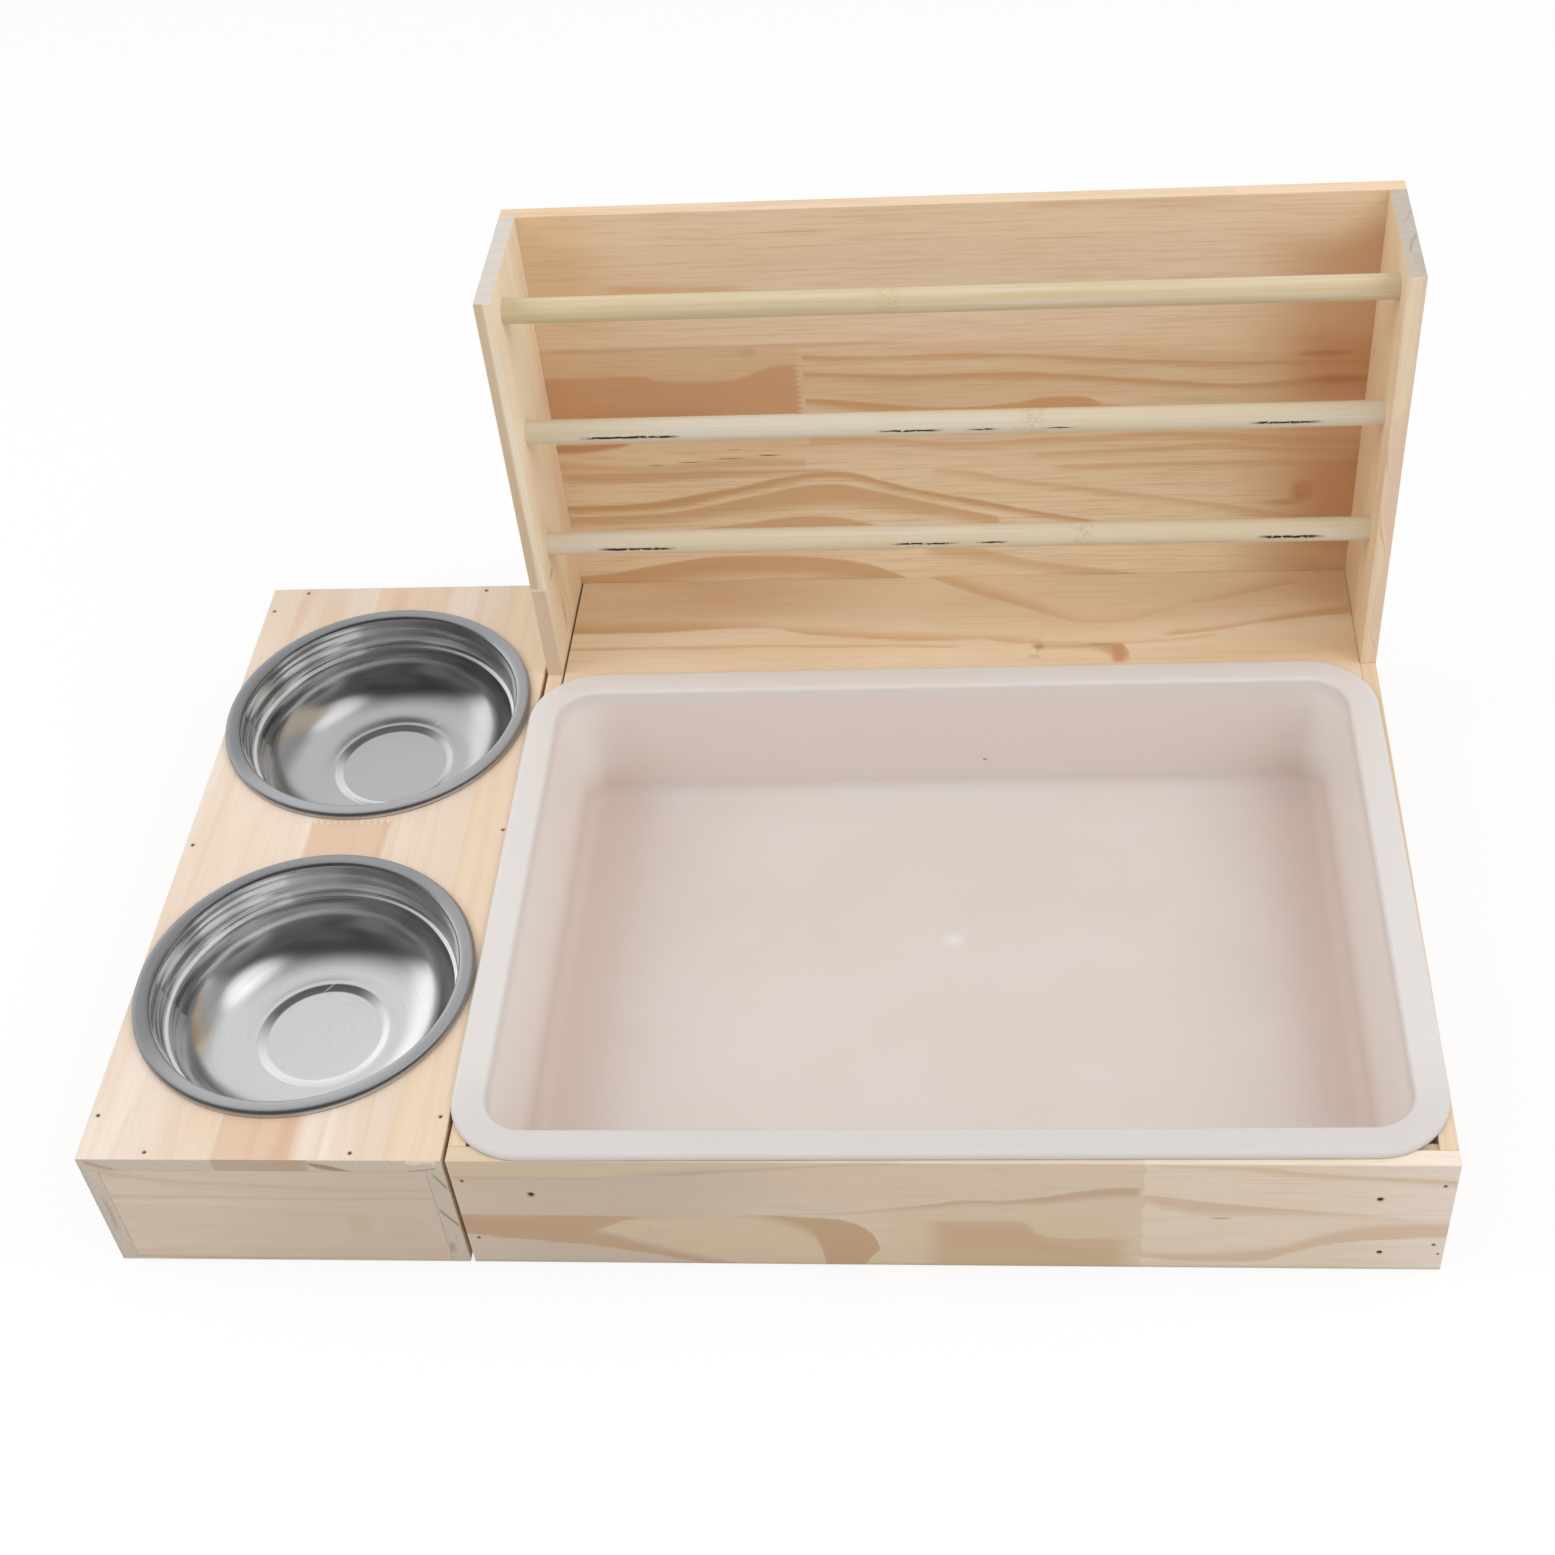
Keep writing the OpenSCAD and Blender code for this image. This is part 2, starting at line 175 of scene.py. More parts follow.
def makePineGrain():
    group, given = startGroup("pineGrain", {
        "Along": 0.0, "Across": 0.0, "Through": 0.0, "Seed": 0.0, "Ring Gap": 6.0,
        "Pith Side": 20.0, "Pith Depth": -30.0, "Lean": 0.05, "Wander": 6.0,
    }, ["Rings", "Lines", "Flecks", "Cloud", "Drift"])
    along, across, through, seed = [given[name] for name in ("Along", "Across", "Through", "Seed")]

    def grainNoise(alongScale, crossScale, shift, detail, rough=0.5):
        first = along * alongScale + (seed * 7.3 + shift)
        return noise(vector(first, across * crossScale, through * crossScale), detail, rough)

    swing = (grainNoise(0.006, 0.018, 3.1, 2) - 0.5) * 2.0
    side = across + swing * given["Wander"] - given["Pith Side"]
    depth = along * given["Lean"] + through - given["Pith Depth"]
    turn = distance(side, depth) / given["Ring Gap"]
    part = turn.math("FRACT")
    late = part.ease(0.3, 0.93) * part.ease(1.0, 0.94)
    chance = wire(group, "ShaderNodeTexWhiteNoise", {"W": turn.math("FLOOR") + seed}, noise_dimensions="1D")
    return finishGroup(group, {
        "Rings": late * chance.between(0.25, 1),
        "Lines": grainNoise(0.02, 0.6, 11.0, 5, 0.72).ease(0.44, 0.7),
        "Flecks": grainNoise(0.11, 2.2, 23.0, 1).ease(0.72, 0.8),
        "Cloud": grainNoise(0.008, 0.035, 37.0, 2).ease(0.3, 0.7),
        "Drift": swing,
    })


def makeFigureAndShadeBand():
    group, given = startGroup("figureAndShadeBand", {
        "Along": 0.0, "Across": 0.0, "Upper": 10.0, "Lower": 0.0, "Soft Upper": 1.0, "Soft Lower": 1.0,
        "Start": -50.0, "End": 1000.0, "Soft Ends": 1.0,
    }, ["Mask"])
    over = (given["Upper"] - given["Across"]).ease(0, given["Soft Upper"])
    under = (given["Across"] - given["Lower"]).ease(0, given["Soft Lower"])
    first = (given["Along"] - given["Start"]).ease(0, given["Soft Ends"])
    last = (given["End"] - given["Along"]).ease(0, given["Soft Ends"])
    return finishGroup(group, {"Mask": over * under * first * last})


def makeFigureSpot():
    group, given = startGroup("figureSpot", {
        "Along": 0.0, "Across": 0.0, "Middle Along": 0.0, "Middle Across": 0.0,
        "Length": 5.0, "Width": 1.0, "Soft": 0.5,
    }, ["Mask"])
    x = (given["Along"] - given["Middle Along"]) / given["Length"]
    y = (given["Across"] - given["Middle Across"]) / given["Width"]
    return finishGroup(group, {"Mask": (1.0 - distance(x, y)).ease(0, given["Soft"])})


def makeEndGrain():
    group, given = startGroup("endGrain", {
        "Across": 0.0, "Through": 0.0, "Seed": 0.0, "Ring Gap": 3.0, "Pith Side": 60.0, "Pith Depth": -40.0,
    }, ["Rings", "Pores"])
    across, through = given["Across"], given["Through"]
    bend = noise(vector(across * 0.05, through * 0.05, given["Seed"]), 2)
    radius = distance(across - given["Pith Side"], through - given["Pith Depth"])
    part = ((bend * 6.0 + radius) / given["Ring Gap"]).math("FRACT")
    pores = noise(vector(across * 2.6, through * 2.6, given["Seed"]), 3, 0.7)
    return finishGroup(group, {
        "Rings": part.ease(0.45, 0.9) * part.ease(1.0, 0.93),
        "Pores": pores.ease(0.42, 0.7),
    })


pineGrain = makePineGrain()
figureAndShadeBand = makeFigureAndShadeBand()
figureSpot = makeFigureSpot()
endGrain = makeEndGrain()


def spotMask(along, across, middle, size, soft):
    return useGroup(along.tree, figureSpot, {
        "Along": along, "Across": across, "Middle Along": middle[0], "Middle Across": middle[1],
        "Length": size[0], "Width": size[1], "Soft": soft,
    })["Mask"]


def edgeCurve(share, size, low, high, points):
    # A line through points given in one row, Along and Across in turn, or one height for all of the board
    if not isinstance(points, tuple):
        return points
    node = place(share.tree, "ShaderNodeFloatCurve", {"Value": share})
    curve = node.mapping.curves[0]
    spots = [(along / size, (across - low) / (high - low))
             for along, across in zip(points[::2], points[1::2])]
    curve.points[0].location = spots[0]
    curve.points[-1].location = spots[-1]
    for spot in spots[1:-1]:
        curve.points.new(*spot)
    for point in curve.points:
        point.handle_type = "AUTO_CLAMPED"
    node.mapping.extend = "HORIZONTAL"
    node.mapping.update()
    return Wire(share.tree, node.outputs[0]) * (high - low) + low


# One darker or lighter stroke on a board, mostly of the wood's figure, and on some boards painted shade and
# painted light:
# its two edges in the board's millimetres, its colour and strength, how soft the edges are, and where along
# the board it starts and ends
stroke = namedtuple("stroke", "upper lower shade amount soft ends fade face toothed",
                    defaults=((1, 1), (-50, 1000), 1, "wide", False))


def addStroke(colour, band, face, share, main, ragged, blur=0.0, spread=0.0):
    cross, size, low, high, mask = face[1:]
    upper = edgeCurve(share, size, low, high, band.upper)
    lower = edgeCurve(share, size, low, high, band.lower)
    shown = mask * useGroup(share.tree, figureAndShadeBand, {
        "Along": main, "Across": cross, "Upper": upper, "Lower": lower - spread,
        "Soft Upper": band.soft[0] + blur, "Soft Lower": band.soft[1] + blur,
        "Start": band.ends[0], "End": band.ends[1], "Soft Ends": band.fade,
    })["Mask"]
    return blend(shown * ragged.between(band.amount, band.amount * 0.82), colour, band.shade)


def pineMaterial(name, look):
    material, tree, where = newMaterial(name)
    spot = split(where)
    facing = split(wire(tree, "ShaderNodeTexCoord", output="Normal"))
    order = ["xyz".index(letter) for letter in look["axes"]]
    along, across, through = [spot[axis] - start for axis, start in zip(order, look["start"])]
    endFace, edgeFace = [abs(facing[axis]).ease(0.6, 0.8) for axis in order[:2]]

    rings = look["rings"]
    grain = useGroup(tree, pineGrain, {
        "Along": along, "Across": across, "Through": through, "Seed": look["seed"],
        "Ring Gap": rings["gap"], "Pith Side": rings["side"], "Pith Depth": rings["depth"],
        "Lean": rings["lean"], "Wander": rings["wander"],
    })
    lines = grain["Lines"]
    colour = blend(grain["Cloud"], look["light"], look["warm"])
    colour = blend(grain["Rings"] * rings["amount"], colour, look["dark"])

    # Edges of the strokes run on curves over the face, the end or the edge of the board
    bent = grain["Drift"] * look.get("bend", 1.2) + (lines * 1.3 + across)
    teeth = look.get("teeth")
    if teeth:
        pitch, reach = teeth
        toothed = calc(tree, "PINGPONG", across, pitch / 2) * (2 * reach / pitch) + along
    length, width, thick = look["size"]
    plain = 1.0 - endFace
    if "away" in look:
        plain = plain * facing[order[2]].ease(0, 0.8, (1.0, look["away"]))
    faces = {
        "wide": (along, bent, length, -80, width + 20, plain),
        "flat": (along, bent, length, -80, width + 20, plain * (1.0 - edgeFace)),
        "edge": (along, through, length, -4, thick + 4, edgeFace),
        "end": (across, through, width, -4, thick + 4, endFace),
    }
    shareAlong = calc(tree, "DIVIDE", along, length, clamp=True)
    blur, spread = look.get("blur", 0.4), look.get("spread", 0.0)
    for band in look.get("strokes", []):
        main = toothed if band.toothed else along
        colour = addStroke(colour, band, faces[band.face], shareAlong, main, lines, blur, spread)
    for middle, size, shade, amount in look.get("spots", []):
        dot = spotMask(along, across, middle, size, 0.8)
        colour = blend(dot * lines.between(1.0, 0.45) * amount, colour, shade)
    colour = blend(lines * look.get("lines", 0.16), colour, look["dark"])
    colour = blend(grain["Flecks"] * 0.2, colour, look["dark"])

    ends = look["ends"]
    cut = useGroup(tree, endGrain, {
        "Across": across, "Through": through, "Seed": look["seed"], "Ring Gap": ends["gap"],
        "Pith Side": ends["side"], "Pith Depth": ends["depth"],
    })
    cutTone = blend(cut["Rings"] * ends["amount"], ends["light"], ends["dark"])
    cutTone = blend(cut["Pores"] * 0.14, cutTone, ends["dark"])
    shareAcross = calc(tree, "DIVIDE", across, width, clamp=True)
    for band in look.get("endStrokes", []):
        cutTone = addStroke(cutTone, band, faces["end"], shareAcross, across, cut["Pores"])
    colour = blend(endFace, colour, cutTone)
    return finishMaterial(material, colour, lines.between(0.52, 0.68),
                          (grain["Rings"] * 0.6 + lines, 0.18, 0.2 * mm), {"Specular IOR Level": 0.35})


# Looks of the boards: sizes in millimetres, colours as they show on a screen

greyEnd = dict(gap=3.2, side=70, depth=-30, amount=0.14, light=(216, 202, 184), dark=(160, 138, 112))

standTopLook = dict(
    axes="yxz", start=(-200, -297.5, 68), size=(391, 163, 8), seed=1, light=(237, 222, 207),
    warm=(231, 211, 189), dark=(206, 172, 139),
    rings=dict(gap=7, side=30, depth=-60, lean=0.02, wander=5, amount=0.22), teeth=(3.4, 4), blur=1.0,
    strokes=[
        stroke(170, 106, (222, 200, 176), 0.6, (1, 30)),
        stroke((0, 100, 180, 103, 212, 105), 60.5, (221, 189, 161), 0.9, (4, 0.8), (-5, 210), toothed=True),
        stroke((0, 97, 60, 98, 208, 103), (0, 85, 60, 90, 208, 96), (205, 165, 136), 0.5, (2, 5), (-5, 210),
            toothed=True),
        stroke((0, 81, 60, 82, 208, 88), (0, 74, 60, 76, 208, 84), (210, 172, 144), 0.35, (2, 4), (-5, 210),
            toothed=True),
        stroke(105, 61.5, (233, 203, 173), 0.7, (6, 1), (210, 400), toothed=True),
        stroke((300, 84, 391, 80), (300, 72, 391, 66), (222, 180, 144), 0.5, (5, 4), (300, 400), 30),
        stroke(61.4, 58.5, (246, 233, 214), 0.6, (0.6, 1.5), (200, 400)),
        stroke(170, (0, 136, 50, 138, 190, 139, 340, 135, 391, 133), (232, 209, 181), 0.8, (1, 2.5)),
        stroke((0, 144, 50, 145, 200, 145, 391, 141), (0, 136, 50, 138, 190, 139, 391, 133), (222, 192, 158),
            0.45, (5, 1.5)),
        stroke((0, 157, 180, 155, 391, 151), (0, 150, 180, 147, 391, 143), (224, 192, 163), 0.4, (4, 3)),
        stroke((0, 9, 100, 11, 190, 15, 250, 18, 391, 27), (0, 4, 100, 6, 190, 9, 250, 11, 391, 16),
            (226, 190, 160), 0.55, (4, 3)),
        stroke(60.4, (0, 41, 30, 43, 391, 48), (231, 203, 178), 0.7, (0.5, 4), (-5, 70), 30),
        stroke((300, 44, 391, 50), (300, 26, 391, 30), (226, 194, 161), 0.6, (6, 6), (300, 400), 40),
        stroke((0, 118, 391, 124), (0, 113, 391, 116), (226, 204, 176), 0.5, (3, 3)),
    ],
    endStrokes=[
        stroke(9, -1, (190, 170, 149), 0.85, ends=(60.5, 104)),
        stroke((84, 9, 104, 9), -1, (200, 168, 142), 0.7, ends=(84, 104), fade=6),
        stroke(9, 7.5, (150, 124, 98), 0.7, (0.2, 0.4), (60, 105)),
        stroke((103, 7, 110, 5.5, 118, 2.5, 126, -0.5), (103, 4, 110, 0.5, 116, -1), (146, 124, 102), 0.8,
            (1, 2), (103, 126), 2),
        stroke((141, -0.5, 150, 1.2, 160, 3), (141, -2, 150, 0, 160, 1.6), (140, 120, 98), 0.8, (0.6, 0.6),
            (141, 161), 2),
        stroke((2, 10, 8, 6, 14, 3, 20, 0), (2, 5, 8, 1.5, 14, -1), (168, 146, 122), 0.6, (2, 2), (2, 21),
            3),
        stroke(9, (147, 6, 151, 4.5, 156, 6, 161, 4), (243, 229, 208), 0.8, (0.4, 0.5), (147, 161)),
    ],
    spots=[(at, (1.7, 1.7), (104, 68, 48), 0.9) for at in [
        (4, 30.5), (4, 122.5), (387, 20), (387, 120.5), (24, 4), (192, 4), (372, 4), (24, 159), (201, 159),
        (372, 159),
    ]],
    ends=dict(greyEnd, side=40, depth=-26, amount=0.1),
)

standFrontLook = dict(
    axes="xzy", start=(-289.5, 0, -200), size=(147, 68, 8), seed=2, light=(228, 211, 191),
    warm=(222, 202, 178), dark=(190, 162, 130),
    rings=dict(gap=6, side=20, depth=-80, lean=0.02, wander=3, amount=0.14),
    strokes=[
        # Darker from 45 mm along onwards: painted shade on the front face.
        stroke(90, -20, (214, 196, 178), 0.85, ends=(45, 1000), fade=90),
        stroke((2, 71, 17, 67, 32, 64.5, 52, 62, 72, 60.5, 92, 59, 112, 58, 147, 57.5), (2, 65, 17, 61.5,
            32, 59, 52, 57, 72, 55.5, 92, 54, 112, 53, 147, 52.5), (198, 172, 140), 0.6, (6, 0.9)),
        stroke((0, 52, 50, 51, 90, 50, 147, 50.5), (0, 48, 50, 47, 90, 46, 147, 46), (203, 181, 147), 0.55,
            (2.5, 1.2)),
        stroke((0, 10, 70, 11, 147, 12), (0, 6, 70, 7, 147, 8), (206, 184, 150), 0.4, (3, 2)),
        stroke((0, 4, 147, 3), (0, 1, 147, 1), (186, 160, 130), 0.5, (1.5, 1)),
    ],
    spots=[
        ((110, 28), (9, 15), (206, 186, 142), 0.4), ((128, 20), (14, 8), (214, 184, 162), 0.35),
        ((138, 6), (12, 6), (216, 182, 164), 0.4),
    ],
    ends=greyEnd,
)

standSideLook = dict(
    axes="yzx", start=(-200, 0, -297.5), size=(391, 68, 8), seed=3, light=(233, 214, 190),
    warm=(226, 202, 172), dark=(194, 158, 120),
    rings=dict(gap=7, side=10, depth=-45, lean=0.05, wander=7, amount=0.35),
    endStrokes=[
        stroke((20, 5, 36, 6.5, 52, 5), (20, 2, 36, 3, 52, 3), (168, 144, 122), 0.6, (2, 2), (18, 54), 8),
        stroke(3, -1, (198, 188, 178), 0.5, (2, 1)),
    ],
    ends=dict(greyEnd, light=(216, 203, 187), side=20, depth=30),
)

standRightLook = dict(
    standSideLook, start=(-200, 0, -142.5), seed=4,
    endStrokes=[
        stroke((27, 9.5, 33, 6, 41, 1.6), (27, 7, 33, 3.5, 41, -0.8), (142, 122, 100), 0.8, (1, 1), (27, 41),
            2),
        stroke((56, 8.5, 66, 4), (56, 6, 66, 2), (146, 126, 104), 0.75, (1, 1), (55, 67), 2),
        stroke((7, 3, 15, 4), (7, -1, 15, 0), (158, 138, 116), 0.6, (1.5, 1.5), (6, 16), 3),
    ],
    ends=dict(greyEnd, light=(211, 198, 180), side=20, depth=-30),
)

boxFrontLook = dict(
    axes="xzy", start=(-132.5, 0, -200), size=(430, 76, 8), seed=5, light=(227, 210, 192),
    warm=(227, 206, 183), dark=(196, 164, 130),
    rings=dict(gap=9, side=30, depth=-90, lean=0.02, wander=3, amount=0.1), teeth=(12, 1.6), bend=0.6,
    strokes=[
        # Darker towards the left end: painted shade on the front face.
        stroke(90, -20, (204, 187, 169), 0.75, ends=(-60, 190), fade=110),
        stroke(90, -20, (226, 205, 179), 0.6, ends=(120, 1000), fade=60),
        stroke(90, -20, (238, 220, 198), 0.85, ends=(300, 1000), toothed=True),
        stroke(90, -20, (246, 231, 219), 0.75, ends=(375, 1000), fade=60),
        stroke((0, 66.5, 20, 65.5, 60, 65, 75, 67.5, 100, 70.5, 130, 73, 155, 75, 180, 77), (0, 62, 20, 62,
            60, 62, 75, 64.5, 100, 66, 130, 69, 155, 72, 180, 74), (203, 178, 141), 0.75, (2, 1.5),
            (-5, 200), 10),
        stroke(90, (0, 65, 60, 64, 100, 70, 130, 73, 155, 76, 180, 79), (222, 199, 168), 0.75, (1, 2),
            (-5, 190), 10),
        stroke((40, 35, 60, 36.5, 118, 36.8, 160, 30, 185, 20), (40, 28, 60, 25, 80, 17, 100, 9, 123, 0,
            185, -12), (222, 199, 167), 0.85, (2, 2), (52, 172), 12),
        stroke(50, -6, (224, 201, 168), 0.6, (8, 1), (184, 300), 12),
        stroke((0, 38, 30, 37.3, 60, 37, 90, 36.6, 118, 36.8), (0, 21.5, 45, 22, 58, 24, 66, 28, 74, 32.5,
            88, 34.8, 118, 35), (200, 166, 132), 0.9, (1, 2), (-5, 122), 6),
        stroke((0, 37, 45, 33, 58, 28.5, 66, 25, 76, 20, 88, 15, 100, 10, 123, 1.5), (0, 21.5, 10, 20,
            30, 17, 50, 14.5, 70, 10, 90, 5, 106, 0, 123, -3), (201, 167, 134), 0.95, (5, 1), (-5, 124), 2),
        stroke((112, 38, 130, 38.5, 150, 37.5, 165, 36, 172, 34, 178, 30, 182, 25, 185, 14), (112, 37,
            130, 33, 140, 29, 150, 24, 156, 18, 159, 8, 161, -12), (201, 166, 131), 0.95, (1, 9), (112, 186),
            1.5),
        stroke((120, 37.5, 150, 36.5, 165, 35, 172, 33, 178, 29, 182, 24, 185, 13), -12, (203, 164, 126),
            0.45, (12, 1), (162, 185), 8),
        stroke((172, -4, 176, -0.5, 179, 4, 182, 9, 186, 15), -14, (224, 203, 172), 1.0, (1.2, 1),
            (172, 190), 2),
        stroke((140, 39.5, 160, 40.2, 175, 41.5, 190, 44, 210, 47.5, 220, 50, 240, 50.7, 250, 51.7,
            260, 53.8, 270, 56.5, 280, 58.8, 290, 60.3, 299, 60.5), (140, 36, 175, 37, 190, 39, 210, 41,
            220, 43, 240, 44, 260, 45, 270, 47, 280, 49, 299, 50), (205, 174, 143), 0.95, (1, 6), (140, 299),
            3),
        stroke((200, 35.5, 247, 35.5, 250, 33, 253, 28.5, 257, 25.3, 263, 23.3, 272, 22.7, 299, 22.8), -9,
            (212, 181, 147), 0.9, (2, 1), (202, 298), 13),
        stroke((200, 34, 247, 34, 256, 24, 272, 18, 299, 14), (200, 12, 299, 4), (207, 174, 138), 0.6,
            (8, 8), (208, 292), 16),
        stroke((300, 76.5, 340, 75.2, 352, 74.8, 360, 73, 370, 71.3, 385, 69.8, 400, 68.8, 430, 66.3),
            (300, 72, 340, 70, 360, 66, 385, 64, 400, 62.5, 430, 59.5), (220, 190, 154), 0.7, (1, 4),
            (302, 1000), 6),
        stroke((300, 55.5, 310, 53.6, 325, 50.5, 345, 47.6, 365, 45.2, 380, 43, 390, 42, 400, 40.7,
            412, 38.8, 430, 37.6), (300, 46, 310, 41, 330, 37, 350, 37.5, 385, 36.5, 400, 35.5, 430, 36),
            (217, 186, 154), 0.75, (1, 7), (299, 1000), 1),
        stroke((300, 15, 320, 14, 340, 16, 360, 20, 370, 25, 380, 30, 395, 35.5, 410, 37.5, 430, 38),
            (300, 7.5, 310, 6, 330, 4.4, 345, 4.4, 355, 6, 362, 10, 370, 14, 380, 18, 395, 21, 410, 23,
            430, 24), (220, 189, 158), 0.8, (6, 1.2), (299, 1000), 1),
        stroke(2.6, -2, (190, 164, 140), 0.5, (1.6, 1)),
    ],
    spots=[
        ((333, 37.6), (7, 1.2), (182, 150, 116), 0.7), ((83, 27), (1, 5), (206, 178, 146), 0.4),
        ((34, 52), (2.6, 2.6), (104, 68, 50), 0.9), ((399, 52), (2.4, 2.4), (110, 74, 54), 0.9),
        ((402.5, 13), (2.2, 2.2), (180, 156, 132), 0.5), ((5, 19), (1.6, 1.6), (110, 78, 58), 0.8),
        ((5, 61.5), (1.6, 1.6), (110, 78, 58), 0.8), ((425, 19), (1.6, 1.6), (110, 78, 58), 0.8),
        ((425, 61.5), (1.6, 1.6), (110, 78, 58), 0.8),
    ],
    ends=dict(greyEnd, light=(226, 205, 178)),
)

